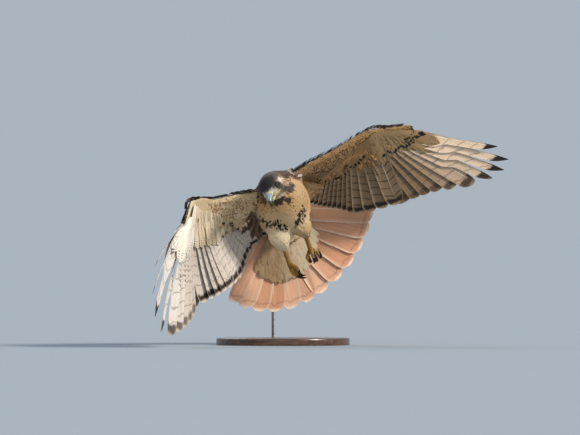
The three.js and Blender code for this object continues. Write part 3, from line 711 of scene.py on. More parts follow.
def coat(name, roots, lie, normals, length, width, lift, tip_rise, look, chart, rows, columns, blunt=False,
         tilt=0.0):
    """Many small feathers at once, each a thin closed vane that rises a little and comes down to its tip."""
    count = len(roots)
    each = lambda values: values[:, None, None]
    length, width, lift, tip_rise = (np.broadcast_to(v, count) for v in (length, width, lift, tip_rise))
    lie = squared(lie, normals)
    lie = units(lie + cross(lie, normals) * draw.normal(0, 0.09, count)[:, None])
    across = cross(lie, normals)
    s = np.linspace(0, 1, rows)[None, :, None]
    t = np.linspace(-1, 1, columns)[None, None, :]
    outline = np.sqrt(np.clip(1 - (2 * s ** 1.3 - 1) ** 2 * np.where(s < 0.4, 0.80, 0.98), 0, 1))
    if blunt:
        tip = np.clip((s - 0.80) / 0.20, 0, 1)
        outline = np.minimum(1, 0.45 + 2.2 * s) * np.sqrt(1 - 0.97 * tip ** 2)
    round_tip, droop = (0.03, 0.03) if blunt else (0.10, 0.07)
    forward = each(length) * s * (1 - round_tip * t ** 2)
    bend = each(draw.normal(0, 0.05, count) * length) * s ** 2
    aside = each(width / 2) * outline * t + bend
    high = each(lift * length) * (s - s ** 2) + each(tip_rise) * s ** 2
    high = high - each(width * droop) * t ** 2 * outline + each(width * tilt) * t * outline
    spread = lambda values: np.broadcast_to(values, (count, rows, columns))[..., None]
    top = (roots[:, None, None, :] + spread(forward) * lie[:, None, None, :]
           + spread(aside) * across[:, None, None, :] + spread(high) * normals[:, None, None, :])
    inner = np.zeros((rows, columns), bool)
    inner[1:-1, 1:-1] = True
    under = top[:, inner] - normals[:, None, :] * each(np.clip(width * 0.04, 0.2, 0.5))
    grid = np.arange(rows * columns).reshape(rows, columns)
    below = grid.copy()
    below[inner] = rows * columns + np.arange(inner.sum())
    quad_of = lambda g: np.stack([g[:-1, :-1], g[:-1, 1:], g[1:, 1:], g[1:, :-1]], axis=-1).reshape(-1, 4)
    pattern = np.concatenate([quad_of(grid), quad_of(below)[:, ::-1]])
    size = rows * columns + int(inner.sum())
    points = np.concatenate([top.reshape(count, -1, 3), under], axis=1).reshape(-1, 3)
    if np.dot(np.cross(across[0], lie[0]), normals[0]) < 0:
        pattern = pattern[:, ::-1]
    quads = (pattern[None] + each(np.arange(count) * size)).reshape(-1, 4)
    mesh = quads_object(name, points, quads, PAINTS["plumage"]).data
    per_feather = lambda values: np.repeat(values, size, axis=0)
    both_faces = lambda values: np.concatenate([values.ravel(), values[inner]])
    t_grid, s_grid = np.meshgrid(t.ravel(), s.ravel())
    vane = np.stack([np.tile(both_faces(t_grid) * 0.5 + 0.5, count), np.tile(both_faces(s_grid), count),
                     np.ones(count * size)], axis=1)
    store(mesh, "vane", vane)
    for key in (*COLORS, *NUMBERS):
        store(mesh, key, per_feather(look[key]))
    bake_map(mesh, np.clip(per_feather(chart) + vane[:, :2] * 0.003, 0, 1))


# The skin, one closed surface under the whole coat

# The trunk: way back, half width, half depth, rise. The skull: way forward, half width, height, depth. The
# rump: way along the tail, half width, height, depth.
TRUNK_RINGS = [(-112, 26, 22, 8), (-98, 44, 40, 8), (-72, 58, 54, 5), (-40, 65, 61, 2), (-5, 67, 63, 0),
               (30, 64, 60, 0), (62, 54, 51, 6), (88, 40, 37, 14), (106, 24, 22, 20)]
SKULL_RINGS = [(-47, 10, 8, 9), (-41, 20, 17, 19), (-28, 28, 26, 27), (-12, 30, 28, 28), (2, 27, 25, 24),
               (13, 20, 19, 19), (21, 12.5, 12.5, 15), (24, 10, 10, 12)]
RUMP_RINGS = [(-24, 22, 10, 20), (2, 34, 14, 28), (30, 38, 12, 26), (58, 34, 7, 20), (84, 22, 3.5, 12)]
NECK_RINGS = [(0, 50), (0.35, 44), (0.7, 36), (1, 28)]
THIGH_RADII = (26, 29, 27, 20, 12, 8)
AEROFOIL = [(0, 0), (0.03, 0.30), (0.10, 0.45), (0.28, 0.50), (0.60, 0.22), (1, 0.04), (1, -0.04),
            (0.62, -0.20), (0.30, -0.36), (0.10, -0.35), (0.03, -0.24)]


def trunk_shape(grow):
    return loft([oval(TRUNK + BACKWARD * back + UP * rise, LEFT, wide + grow, UP, deep + grow, deep + grow,
                      32) for back, wide, deep, rise in TRUNK_RINGS])


def neck_shape(grow):
    start, end = TRUNK - BACKWARD * 70 + UP * 12, head_point(-24, 0, 0)
    rings = []
    for share, radius in NECK_RINGS:
        along = unit(mix(-BACKWARD, BILL, share))
        left = squared(mix(LEFT, HEAD_LEFT, share), along)
        size = radius + grow
        rings.append(oval(mix(start, end, share), left, size, cross(along, left), size, size, 28))
    return loft(rings)


def skull_shape(grow):
    return loft([oval(head_point(ahead, 0, 0), HEAD_LEFT, wide + grow, HEAD_UP, high + grow, low + grow, 28)
                 for ahead, wide, high, low in SKULL_RINGS])


def thigh_shape(leg, grow):
    middle = mix(leg["hip"], leg["ankle"], 0.5) + vec(0, -2, 0)
    path = [leg["hip"], middle, leg["ankle"], mix(leg["ankle"], leg["toes"], 0.3)]
    return limb(path, [max(radius + grow, 4) for radius in THIGH_RADII], 20, 12)


def aerofoil(front, rear, up, thick):
    return np.array([front + (rear - front) * share + up * rise * thick for share, rise in AEROFOIL])


def arm_shape(wing, feathers, grow):
    # Where its leading edge runs, which feather stands behind it there, and how thick it is
    shoulder, wrist, out = wing["shoulder"], wing["wrist"], wing["arm_out"]
    stops = [(shoulder - LEFT * wing["side"] * 26, 15, 34), (shoulder + out * 8, 15, 30),
             (shoulder + out * 60, 12, 20), (shoulder + out * 115, 7, 16),
             (wrist - out * 30 - wing["backward"] * 13, 3, 14), (wrist - wing["backward"] * 13, 0, 13)]
    rings = []
    for index, (front, number, thick) in enumerate(stops):
        quill = feathers[number]
        rear = quill["root"] + unit(quill["tip"] - quill["root"]) * (50 if index == 0 else 62)
        if index == 0:
            rear = rear - LEFT * wing["side"] * 26
        up = unit(mix(wing["arm_up"], wing["up"], index / (len(stops) - 1)))
        fuller = wing["fuller"] * (0, 0, 1, 1, 0.4, 0)[index]
        rings.append(aerofoil(front + unit(front - rear) * (grow + fuller), rear, up, thick + 2 * grow))
    return loft(rings)


def hand_shape(wing, feathers, grow):
    rings = []
    for index, place in enumerate((-2, 30, 62, HAND + 8)):
        share = index / 3
        front = wing["wrist"] + wing["outward"] * place + wing["backward"] * (mix(-13, 0, share) - grow)
        quill = feathers[round(share * 9)]
        rear = quill["root"] + unit(quill["tip"] - quill["root"]) * mix(58, 30, share)
        rings.append(aerofoil(front, rear, wing["up"], mix(13, 7, share) + 2 * grow))
    return loft(rings)


def rump_shape(grow):
    return loft([oval(TAIL + TAIL_ALONG * along, TAIL_LEFT, wide + grow, TAIL_BELLY, low + grow, high + grow,
                      24) for along, wide, high, low in RUMP_RINGS])


wings = {label: wing_frame(pose) for label, pose in WINGS.items()}
for wing in wings.values():
    wing["primaries"] = primaries(wing)
    wing["secondaries"] = secondaries(wing)
    lay_flat(wing["primaries"][::-1] + wing["secondaries"])


def skin_shapes():
    """The closed shapes that the skin joins, by the part of the bird that they belong to."""
    shapes = {"trunk": trunk_shape(-4), "neck": neck_shape(-5), "head": skull_shape(-2),
              "rump": rump_shape(-3)}
    for label, leg in LEGS.items():
        shapes["leg_" + label] = thigh_shape(leg, -4)
    for label, wing in wings.items():
        shapes["arm_" + label] = arm_shape(wing, wing["secondaries"], -1.5)
        shapes["hand_" + label] = hand_shape(wing, wing["primaries"], -1)
    return shapes


shapes = skin_shapes()
PARTS = list(shapes)
trees = [BVHTree.FromPolygons(points.tolist(), faces) for points, faces in shapes.values()]

# The size of the cells of the skin, in metres, and the parts that are evened out
SKIN_VOXEL = 0.0022
BODY = ("trunk", "neck", "rump", "leg_left", "leg_right")


def make_skin():
    points, faces = together(shapes.values())
    skin = make_object("skin", points, faces, PAINTS["skin"])
    remesh = skin.modifiers.new("remesh", "REMESH")
    remesh.mode = "VOXEL"
    remesh.voxel_size = SKIN_VOXEL
    remesh.use_smooth_shade = True
    soften = skin.modifiers.new("soften", "SMOOTH")
    soften.factor = 0.6
    soften.iterations = 7
    graph = bpy.context.evaluated_depsgraph_get()
    mesh = bpy.data.meshes.new_from_object(skin.evaluated_get(graph))
    skin.modifiers.clear()
    old = skin.data
    skin.data = mesh
    bpy.data.meshes.remove(old)
    mesh.materials.clear()
    mesh.materials.append(PAINTS["skin"])
    places, _ = mesh_arrays(mesh)
    share = part_shares(places)
    on_body = sum(share[part] for part in BODY)
    places = softened(mesh, places, on_body * ease(26, 60, places @ vec(0, 0, 1) - 150), 80)
    # A dish for each eye
    for side in (1, -1):
        from_eye = places - head_point(EYE[0], side * EYE[1], EYE[2])
        out = from_eye @ (HEAD_LEFT * side)
        off_middle = np.linalg.norm(squared_off(from_eye, HEAD_LEFT), axis=1)
        depth = np.sqrt(np.clip(EYE_ROOM ** 2 - off_middle ** 2, 0, None)) * (out > 0) * 0.9
        places = places - np.outer(depth, HEAD_LEFT * side)
    mesh.vertices.foreach_set("co", (places * MM).astype(np.float32).ravel())
    mesh.update()
    flesh = ["torso", "neck", "head", "tail"]
    flesh += [f"wing_{label}_{part}" for label in WINGS for part in ("arm", "hand")]
    flesh += [f"leg_{label}_thigh" for label in LEGS]
    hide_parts(*flesh)
    return skin


def softened(mesh, places, strength, rounds):
    """Evens out hollows and ridges by moving each point towards the middle of its neighbours."""
    ends = np.empty(len(mesh.edges) * 2, np.int32)
    mesh.edges.foreach_get("vertices", ends)
    a, b = ends.reshape(-1, 2).T
    count = len(places)
    ways = np.maximum(np.bincount(a, minlength=count) + np.bincount(b, minlength=count), 1)[:, None]
    for _ in range(rounds):
        total = np.stack([np.bincount(a, places[b, i], count) + np.bincount(b, places[a, i], count)
                          for i in range(3)], axis=1)
        places = places + (total / ways - places) * (0.5 * strength)[:, None]
    return places


def part_shares(points):
    gaps = np.array([[tree.find_nearest(p)[3] for p in points.tolist()] for tree in trees])
    shares = np.exp(-gaps / 4)
    return dict(zip(PARTS, shares / shares.sum(axis=0)))


def mesh_arrays(mesh):
    points = np.empty(len(mesh.vertices) * 3, np.float32)
    mesh.vertices.foreach_get("co", points)
    normals = np.empty(len(mesh.vertices) * 3, np.float32)
    mesh.vertices.foreach_get("normal", normals)
    return points.reshape(-1, 3).astype(float) / MM, normals.reshape(-1, 3).astype(float)


def sample_skin(mesh, count):
    """Random points of the skin, evenly over its area, with the way it faces there."""
    places, facing = mesh_arrays(mesh)
    mesh.calc_loop_triangles()
    corners = np.empty(len(mesh.loop_triangles) * 3, np.int32)
    mesh.loop_triangles.foreach_get("vertices", corners)
    corners = corners.reshape(-1, 3)
    a, b, c = (places[corners[:, i]] for i in range(3))
    area = np.linalg.norm(np.cross(b - a, c - a), axis=1)
    chosen = draw.choice(len(area), count, p=area / area.sum())
    u, v = draw.random(count), draw.random(count)
    over = u + v > 1
    u, v = np.where(over, 1 - u, u), np.where(over, 1 - v, v)
    weights = np.stack([1 - u - v, u, v], axis=1)[..., None]
    points = np.sum(places[corners[chosen]] * weights, axis=1)
    normals = units(np.sum(facing[corners[chosen]] * weights, axis=1))
    return points, normals


def spaced(points, gap):
    """Numbers of the points kept so that no two are nearer than the gap."""
    table, kept = {}, []
    cells = np.floor(points / gap).astype(int)
    near = [(i, j, k) for i in (-1, 0, 1) for j in (-1, 0, 1) for k in (-1, 0, 1)]
    limit = gap * gap
    rows = points.tolist()
    for index, (x, y, z) in enumerate(cells.tolist()):
        p = rows[index]
        free = True
        for i, j, k in near:
            for q in table.get((x + i, y + j, z + k), ()):
                if (p[0] - q[0]) ** 2 + (p[1] - q[1]) ** 2 + (p[2] - q[2]) ** 2 < limit:
                    free = False
                    break
            if not free:
                break
        if free:
            table.setdefault((x, y, z), []).append(p)
            kept.append(index)
    return np.array(kept, int)


# Where a point of the skin is on the bird

def wing_rows(wing):
    """All flight feathers of one wing, from the outermost primary to the innermost tertial."""
    return wing["primaries"][::-1] + wing["secondaries"]


def on_bird(points):
    """Where each point is from the head, the body and the wings, and which part it belongs to."""
    found = {"head": along_each(points - HEAD, BILL, HEAD_LEFT, HEAD_UP),
             "body": along_each(points - TRUNK, BACKWARD, LEFT, UP), "share": part_shares(points)}
    for label, wing in wings.items():
        rows = wing_rows(wing)
        roots = np.array([f["root"] for f in rows])
        along = np.array([unit(f["tip"] - f["root"]) for f in rows])
        rise = np.array([squared(squared(f["up"], way), way) for f, way in zip(rows, along)])
        offset = points[:, None, :] - roots[None]
        behind = np.sum(offset * along[None], axis=2)
        flat = offset - np.sum(offset * rise[None], axis=2)[..., None] * rise[None]
        gap = np.linalg.norm(flat - np.clip(behind, -16, 400)[..., None] * along[None], axis=2)
        row = np.argmin(gap, axis=1)
        here = np.arange(len(points))
        found[label] = {"behind": behind[here, row], "along": along[row], "rise": rise[row],
                        "above": np.sum(offset[here, row] * rise[row], axis=1),
                        "share": found["share"]["arm_" + label] + found["share"]["hand_" + label]}
    return found


def lie_of_coat(normals, found):
    """The way the feathers point: back over the head and body, down the legs, out and back on the wings."""
    share = found["share"]
    ways = {"trunk": BACKWARD, "neck": mix(-BILL, BACKWARD, 0.5), "head": -BILL, "rump": TAIL_ALONG}
    lie = sum(np.outer(share[part], way) for part, way in ways.items())
    for label, leg in LEGS.items():
        lie = lie + np.outer(share["leg_" + label], unit(unit(leg["toes"] - leg["hip"]) + BACKWARD * 0.2))
    for label, wing in wings.items():
        here = found[label]
        front = np.clip(-np.sum(normals * here["along"], axis=1), 0, 1)
        out = np.outer(share["arm_" + label], wing["arm_out"])
        out += np.outer(share["hand_" + label], wing["outward"])
        lie = lie + here["share"][:, None] * here["along"] + out * (0.2 + 1.6 * front)[:, None]
    return squared(lie, normals)


# Colours by place

def plain_look(count, shape=(6.0, 0.3, 0.0), rim=WHITE, spot=DARK):
    """The colours and marks of a number of feathers before each has its own."""
    rows = zip((*COLORS, *NUMBERS), (CREAM, spot, rim, (0.0, 0.0, 0.0), (0.0, 0.0, 0.0), shape))
    return {key: np.tile(row, (count, 1)) for key, row in rows}


# Markings of the face as seen from the front: middle (x, z), half sizes, tilt, colour, strength
FACE = {
    "cheek": ((9, 376), (22, 17), 20, "c49e80", 0.9),
    "crown": ((-41, 370), (29, 28), 0, "221d1f", 1.0),
    "nape_side": ((-76, 350), (30, 12), 27, "3a302d", 0.9),
    "brow": ((-3, 378), (16, 7), 58, "ecd6c3", 0.95),
    "brow_patch": ((9, 380), (8, 5), 58, "b47f5c", 0.7),
    "lore": ((-21, 345), (13, 8), 20, "cbc4b8", 0.95),
    "ear": ((13, 352), (20, 9), 10, "484040", 0.95),
    "neck_side": ((42, 350), (16, 24), 0, "bb9c78", 0.7),
    "shoulder_side": ((-70, 326), (22, 15), 0, "8d6a4a", 0.75),
    "throat": ((-5, 323), (28, 9), 12, "2c1f1a", 0.95),
    "throat_side": ((-45, 326), (17, 10), -25, "3a281e", 0.85),
    "gape_line": ((-4, 335), (17, 3.4), 25, "cdbfae", 0.8),
    "eye_ring": ((-10, 359), (11, 9.5), 20, "1f1b19", 0.9),
}
# The scaly patch behind the crown: middle, half sizes, tilt
SCALY_NECK = ((32, 391), (24, 15), 15)


def mark_groups(*rows):
    return [dict(zip(("path", "scatter", "count", "size", "seed", "color"), row)) for row in rows]


# Dark streaks as seen from the front: a path of (x, z), how far they scatter from it, how many, half sizes,
# the seed of their places, colour
LINING_BAR = [(184, 423), (162, 405), (142, 385), (115, 369), (104, 346)]
BREAST_MARKS = mark_groups(
    ([(-60, 315), (-38, 306), (-14, 300)], 9, 26, (1.3, 4.2), 1, "5f3a22"),
    ([(52, 372), (46, 340), (48, 306)], 9, 34, (1.3, 4.6), 2, "66402a"),
    ([(8, 318), (30, 306)], 8, 8, (1.2, 4.0), 3, "66402a"),
    ([(-61, 284), (-47, 281), (-32, 272)], 5, 15, (2.6, 4.8), 4, "17100d"),
    ([(-23, 276), (-7, 272), (4, 262)], 8, 14, (2.8, 6.2), 5, "17100d"),
    ([(26, 270), (38, 288), (46, 304)], 6, 16, (2.5, 6.2), 6, "17100d"),
    ([(56, 270), (60, 298)], 3, 6, (1.4, 3.6), 7, "2a1c14"),
    ([(-50, 300), (50, 262)], 16, 12, (1.1, 2.4), 8, "6a452c"))
WING_MARKS = mark_groups(
    (LINING_BAR, 2.2, 26, (3.0, 4.2), 11, "1a110d"),
    ([(60, 352), (84, 372), (112, 366)], 11, 24, (1.6, 3.0), 12, "3a2417"),
    ([(228, 428), (262, 440), (295, 458)], 5, 26, (4.0, 4.4), 13, "1a110d"),
    ([(274, 460), (298, 468), (320, 477)], 5, 18, (4.0, 4.4), 14, "1a110d"),
    ([(178, 455), (205, 462), (232, 470)], 4, 14, (2.0, 3.4), 16, "2c1b12"),
    ([(-132, 238), (-110, 236), (-90, 242)], 3, 12, (2.0, 2.6), 15, "4a2c18"))

# The boldest dark feathers, which lie on top of the coat, in the same form, with their width and length
BOLD_MARKS = mark_groups(
    ([(-60, 285), (-46, 281), (-32, 272)], 4.5, 11, (4.6, 8.5), 21),
    ([(-20, 277), (-7, 271), (2, 261)], 6, 12, (5.0, 10), 22),
    ([(27, 272), (38, 289), (45, 304)], 5, 13, (4.4, 10), 23),
    (LINING_BAR, 2.5, 30, (5.0, 7.5), 24),
    ([(228, 428), (262, 441), (295, 458)], 4.5, 24, (6.0, 7.5), 25),
    ([(276, 461), (298, 468), (320, 477)], 4.5, 16, (6.5, 7.5), 26),
    ([(60, 345), (84, 366), (100, 358)], 11, 16, (3.4, 6), 27))


def on_path(area, shares):
    return smooth_path([(x, 0, z) for x, z in area["path"]], shares)


def marked(points, area):
    """Which points lie in one of the small streaks of an area."""
    chance = np.random.default_rng(area["seed"])
    shares = chance.random(area["count"])
    centres = on_path(area, shares)[:, [0, 2]]
    centres = centres + chance.normal(0, area["scatter"] * 0.6, centres.shape)
    turns = chance.normal(0, 0.3, area["count"])
    sizes = chance.uniform(0.7, 1.3, area["count"])
    inside = np.zeros(len(points), bool)
    for (x, z), turn, size in zip(centres, turns, sizes):
        right, up = points[:, 0] - x, points[:, 2] - z
        u = right * math.cos(turn) + up * math.sin(turn)
        v = up * math.cos(turn) - right * math.sin(turn)
        inside |= (u / area["size"][0]) ** 2 + (v / area["size"][1]) ** 2 < size ** 2
    return inside


def oval_patch(x, z, middle, size, tilt):
    """1 inside an oval and 0 outside it, with a soft edge."""
    turn = tilt * DEGREE
    u = (x - middle[0]) * math.cos(turn) + (z - middle[1]) * math.sin(turn)
    v = (z - middle[1]) * math.cos(turn) - (x - middle[0]) * math.sin(turn)
    return 1 - ease(0.68, 1.2, np.sqrt((u / size[0]) ** 2 + (v / size[1]) ** 2))


class Tints:
    """Colours and marks of many points, laid over each other."""

    def __init__(self, count):
        self.luck, self.other_luck = draw.random(count), draw.random(count)
        self.look = plain_look(count)
        self.look["edges"][:, 2] = self.luck

    def paint(self, where, color, strength=1.0):
        cover = (np.clip(where, 0, 1) * strength)[:, None]
        self.look["ground"][:] = self.look["ground"] * (1 - cover) + light_of(color) * cover

    def drop(self, where, color, strength):
        """Gives feathers a dark middle drop."""
        self.look["spot"][where] = light_of(color)
        self.look["marks"][where, 2] = strength

    def no_drop(self, where):
        self.look["marks"][where, 2] = 0

    def dark_top(self, where):
        """Gives the feathers of the upper side their paler rims."""
        self.drop(where, DARK, 0.5)
        self.look["edges"][where, 0] = 0.7
        self.look["rim"][where] = TOP_RIM


def tint_body(tints, points, body, share, back, front):
    luck = tints.luck
    on_body = share["trunk"] + share["rump"] + share["neck"]
    tints.paint(on_body, "c4a478", 0.9)
    tints.paint(on_body * ease(282, 312, points[:, 2]) * front, "b68d5a", 0.75)
    flank = (on_body > 0.5) & (front < 0.4) & (back < 0.5) & (np.abs(body[:, 0] + 8) < 34) & (luck < 0.3)
    tints.drop(flank, DARK, 0.8)
    on_back = on_body * back
    tints.paint(on_back, mix(BROWN, DARK, 0.25))
    pale = on_back * (luck > 0.74) * ease(12, 24, np.abs(body[:, 1])) * (1 - ease(20, 45, body[:, 0]))
    tints.paint(pale * ease(-80, -62, body[:, 0]), "b79b78", 0.8)
    tints.dark_top(on_back > 0.5)
    tints.paint(on_back * (luck < 0.3), "6d4f39", 0.7)
    tints.paint(share["rump"] * back, "7b543a", 0.6)


def tint_head(tints, points, head, body, share, back, front):
    """Head and neck, the far side of the face as the near one."""
    luck, on_head = tints.luck, share["head"]
    mirrored = points - np.outer(2 * np.minimum(head[:, 1], 0), HEAD_LEFT)
    where = np.where((on_head > 0.5)[:, None], mirrored, points) + draw.normal(0, 2.2, points.shape)
    face = np.clip(on_head + share["neck"] + share["trunk"] * front * ease(40, 75, -body[:, 0]), 0, 1)
    tints.paint(on_head + share["neck"] * back, BROWN, 0.7)
    ahead = np.maximum(on_head * ease(-44, -30, head[:, 0]), front)
    for middle, size, tilt, color, strength in FACE.values():
        inside = oval_patch(where[:, 0], where[:, 2], middle, size, tilt) * face * ahead
        tints.paint(inside, color, strength)
        tints.no_drop(inside > 0.5)
    tints.paint(on_head * ease(12, 30, -head[:, 0]) * ease(-8, 6, head[:, 2]), SLATE, 0.6)
    scaly = oval_patch(where[:, 0], where[:, 2], *SCALY_NECK) * (face > 0.3)
    tints.paint(scaly * (luck < 0.45), BROWN, 0.8)
    tints.paint(scaly * (luck > 0.8), "a58f76", 0.6)
    tints.paint(scaly * (luck > 0.45) * (luck < 0.8), "c09a84", 0.8)
    tints.paint(on_head * (luck < 0.25) * (tints.look["marks"][:, 2] == 0), SLATE, 0.35)
    tints.look["edges"][on_head > 0.5, 0] = 0.2
    tints.drop((share["neck"] > 0.4) & (luck < 0.5), "3d2a1e", 0.9)


def tint_wing(tints, label, normals, here, share):
    """One wing's coat. Finds which points are on its under side."""
    luck, other_luck, on_wing, behind = tints.luck, tints.other_luck, here["share"], here["behind"]
    # The coat colours of each wing are scaled by its painted shade, and the hand's also by the innermost
    # share of its painted fall of light
    shade, fall = WINGS[label]["coat_shade"], WINGS[label]["fall"]
    rise = np.sum(normals * here["rise"], axis=1)
    nearly_flat = ease(30, 48, behind)
    over = ease(-0.1, 0.2, rise * (1 - nearly_flat) + np.clip(here["above"] / 4, -1, 1) * nearly_flat)
    under = on_wing * (1 - over)
    tints.paint(on_wing * over, mix(BROWN, DARK, 0.2))
    tints.paint(on_wing * over * (luck < 0.35), "6a4d38", 0.8)
    # Under side: painted shade darkens and warms it on the left wing and keeps it pale on the right
    tints.paint(under, srgb("d8c09a") * shade, 0.95)
    tints.paint(under * share["hand_" + label], srgb("e2d3b8") * shade * fall[0], 0.8)
    tints.drop((under > 0.5) & (luck < 0.22), "8e5a34", 0.85)
    # The way a point faces, round the leading edge, in degrees
    facing = np.arctan2(rise, -np.sum(normals * here["along"], axis=1)) / DEGREE
    lining = (on_wing > 0.5) & (share["arm_" + label] > 0.4) & (behind < mix(2, 12, luck))
    lining = lining & (facing < 0) & (facing > -120)
    # The bar of marks by the leading edge is denser and darker on the wing in painted shade: partly the
    # bird's own marks, partly painted shade
    often, color = (0.7, "3a2216") if shade[2] < 0.5 else (0.5, "8a5a34")
    tints.drop(lining & (other_luck < often), color, 0.9)
    edge = on_wing * ease(-15, 0, facing) * (1 - ease(40, 60, facing)) * (1 - ease(-6, 4, behind))
    tints.paint(on_wing * ease(40, 60, facing) * (1 - ease(0, 10, behind)), DARK, 0.6)
    tints.paint(edge * (other_luck < 0.66), DARK, 0.95)
    tints.paint(edge * (other_luck >= 0.66), "c9c0b6", 0.9)
    tints.no_drop(edge > 0.5)
    tints.dark_top(on_wing * over > 0.5)
    return under > 0.5


def tint_bird(points, normals, found):
    """Ground, spot and rim colours and marks for every point, so that skin and coat agree."""
    tints = Tints(len(points))
    body, share = found["body"], found["share"]
    radius = np.maximum(np.linalg.norm(body[:, 1:], axis=1), 20)
    back = ease(-0.10, 0.25, body[:, 2] / radius + 0.3 * (normals @ UP))
    front = ease(-0.1, 0.25, -normals[:, 1]) * (1 - back)
    tint_body(tints, points, body, share, back, front)
    tint_head(tints, points, found["head"], body, share, back, front)
    on_leg = share["leg_left"] + share["leg_right"]
    # Painted light: the left thigh is painted darker as if in shade and the right one paler as if sunlit
    tints.paint(share["leg_left"], "b99765", 0.9)
    tints.paint(share["leg_right"], "e0cba6", 0.9)
    tints.no_drop((on_leg > 0.5) & (points[:, 2] < 262))
    breast = (share["trunk"] + share["rump"] + share["neck"] + on_leg) * front > 0.4
    streaks = [(breast, area) for area in BREAST_MARKS]
    for label in wings:
        under = tint_wing(tints, label, normals, found[label], share)
        streaks += [(under, area) for area in WING_MARKS]
    for where, area in streaks:
        color = srgb(area["color"])
        tints.drop(where & marked(points, area), color, 1.0 if color.sum() < 0.05 else 0.4)
    return tints.look


# Looks of the large feathers

def flight_look(feather, below):
    luck = draw.random()
    order, hand, shade = feather["order"], feather["hand"], feather["shade"]
    if not below:
        return dict(ground=mix(BROWN, DARK, 0.3) * mix(0.9, 1.15, luck), spot=DARK, rim=TOP_RIM, bars=0.7,
                    band=0.7, fringe=0.4, chance=luck)
    # Under sides take the feather's painted shade, which darkens and warms the left wing and keeps the right
    # one pale as if sunlit; bars are made stronger on the wing in painted shade
    if hand:
        outer = ease(2, 7, order)
        return dict(ground=mix(srgb("c5b8aa"), srgb("e8dfd4"), outer) * shade,
                    spot=mix(srgb("4a3a30"), srgb("1c1512"), outer), rim=srgb("dccbb4") * shade,
                    bars=0.45, band=mix(0.8, 1.0, outer), fringe=mix(0.7, 0.0, ease(4, 7, order)),
                    shaft=0.8, chance=luck, count=mix(10, 7, outer))
    return dict(ground=mix(srgb("c4b7a9"), srgb("d3c8bb"), luck) * shade, spot=srgb("2a1d16"), count=10,
                bars=mix(0.9, 0.4, shade[2]), band=1.0, fringe=0.8, shaft=0.5, chance=luck,
                rim=srgb("e6d6c0") * mix(shade, vec(1, 0.9, 0.8), 0.35))


def thumb_look(feather, below):
    return dict(ground=srgb("4e4037") if below else BROWN, spot=BLACK, rim=BUFF, bars=0.2, band=0.6,
                fringe=0.3, shaft=0.3, chance=draw.random())


def tail_look(feather, below):
    luck = draw.random()
    if below:
        return dict(ground=mix(srgb("e3b596"), srgb("cb9370"), luck), spot=srgb("4a3a34"), rim=srgb("f2dcc6"),
                    band=0.28, fringe=0.8, shaft=0.7, chance=luck)
    return dict(ground=BRICK * mix(0.9, 1.1, luck), spot=BLACK, rim=srgb("d8bfa2"), band=1.0, fringe=0.6,
                shaft=0.3, chance=luck)


def tail_feathers():
    half = TAIL_FEATHERS // 2
    feathers = []
    for side in (1, -1):
        for index in range(half):
            share = (index + 0.5) / (half - 0.5)
            angle = side * (TAIL_SPREAD / 2) * min(1, share + 0.12 * share * (1 - share))
            along = TAIL_ALONG * math.cos(angle) + TAIL_LEFT * math.sin(angle)
            outward = TAIL_LEFT * side * math.cos(angle) - TAIL_ALONG * side * math.sin(angle)
            stack = TAIL_BELLY * (index * 2 + (0 if side > 0 else 1) - 5)
            reach = TAIL_REACH + (5 if side > 0 else -8) * share ** 2
            feathers.append(dict(
                root=TAIL + along * 14 + stack, tip=TAIL + along * reach + stack, outward=outward,
                up=-TAIL_BELLY, inner=30, outer=9 if index == half - 1 else 19, tilt=1.5 * DEGREE,
                notch=NO_NOTCH, arch=3, sweep=0, order=index, hand=0.0))
    return feathers


# Coverts in rows along the wing

# From how far off the skin is looked for
CLEAR = 60


def evened(group, ups):
    """Lifts each point by its height, after the heights of a row are evened out."""
    height = np.pad(group[:, 3], 2, mode="edge")
    height = sum(height[i:len(height) - 4 + i] for i in range(5)) / 5
    return group[:, :3] + ups * height[:, None]


def row_coverts(wing, above, tier, surface):
    """One row of coverts: they stand on the skin and come down to the flight feathers."""
    rows = wing_rows(wing)
    start, end, off, wide, count = tier
    places = np.linspace(1.3 if above else 0.1, len(rows) - 1.1, count) + draw.normal(0, 0.06, count)
    places = np.clip(places, 0, len(rows) - 1.001)
    roots, tips, ups = [], [], []
    for place in places:
        i, f = int(place), place - int(place)
        ends = []
        for feather in (rows[i], rows[i + 1]):
            _, _, rise = axes(feather)
            line = shaft_points(feather, np.array([start, end * (0.88 if feather["hand"] else 1.0)]))
            ends.append((line[0], line[1], rise))
        root, tip, up = (mix(a, b, f) for a, b in zip(*ends))
        up = unit(up) * (1 if above else -1)
        for point, spare, group in ((root, -1.2, roots), (tip, 1.0, tips)):
            start_of_ray = point + up * CLEAR
            hit = surface.ray_cast(start_of_ray.tolist(), (-up).tolist(), CLEAR)[0]
            height = CLEAR - np.linalg.norm(start_of_ray - vec(*hit)) if hit is not None else 0
            group.append(np.append(point, max(height + spare, off)))
        ups.append(up)
    ups = np.array(ups)
    roots, tips = (evened(np.array(group), ups) for group in (roots, tips))
    lie = units(tips - roots)
    length = np.linalg.norm(tips - roots, axis=1) * (1 + draw.normal(0, 0.03, count))
    return roots, lie, squared(ups, lie), length, np.full(count, float(wide)), places / len(rows)


# Rows of coverts: where on the flight feathers they start and end, how far they stand off, width, how many
UNDER_TIERS = [(0.10, 0.45, 4.6, 20, 40), (0.07, 0.35, 5.8, 16, 48), (0.03, 0.25, 7.0, 13, 58),
               (-0.01, 0.16, 8.0, 10, 70)]
OVER_TIERS = [(0.08, 0.38, 2.6, 20, 30), (0.05, 0.28, 4.0, 16, 40), (0.02, 0.20, 5.4, 13, 50),
              (-0.01, 0.14, 6.8, 11, 60)]


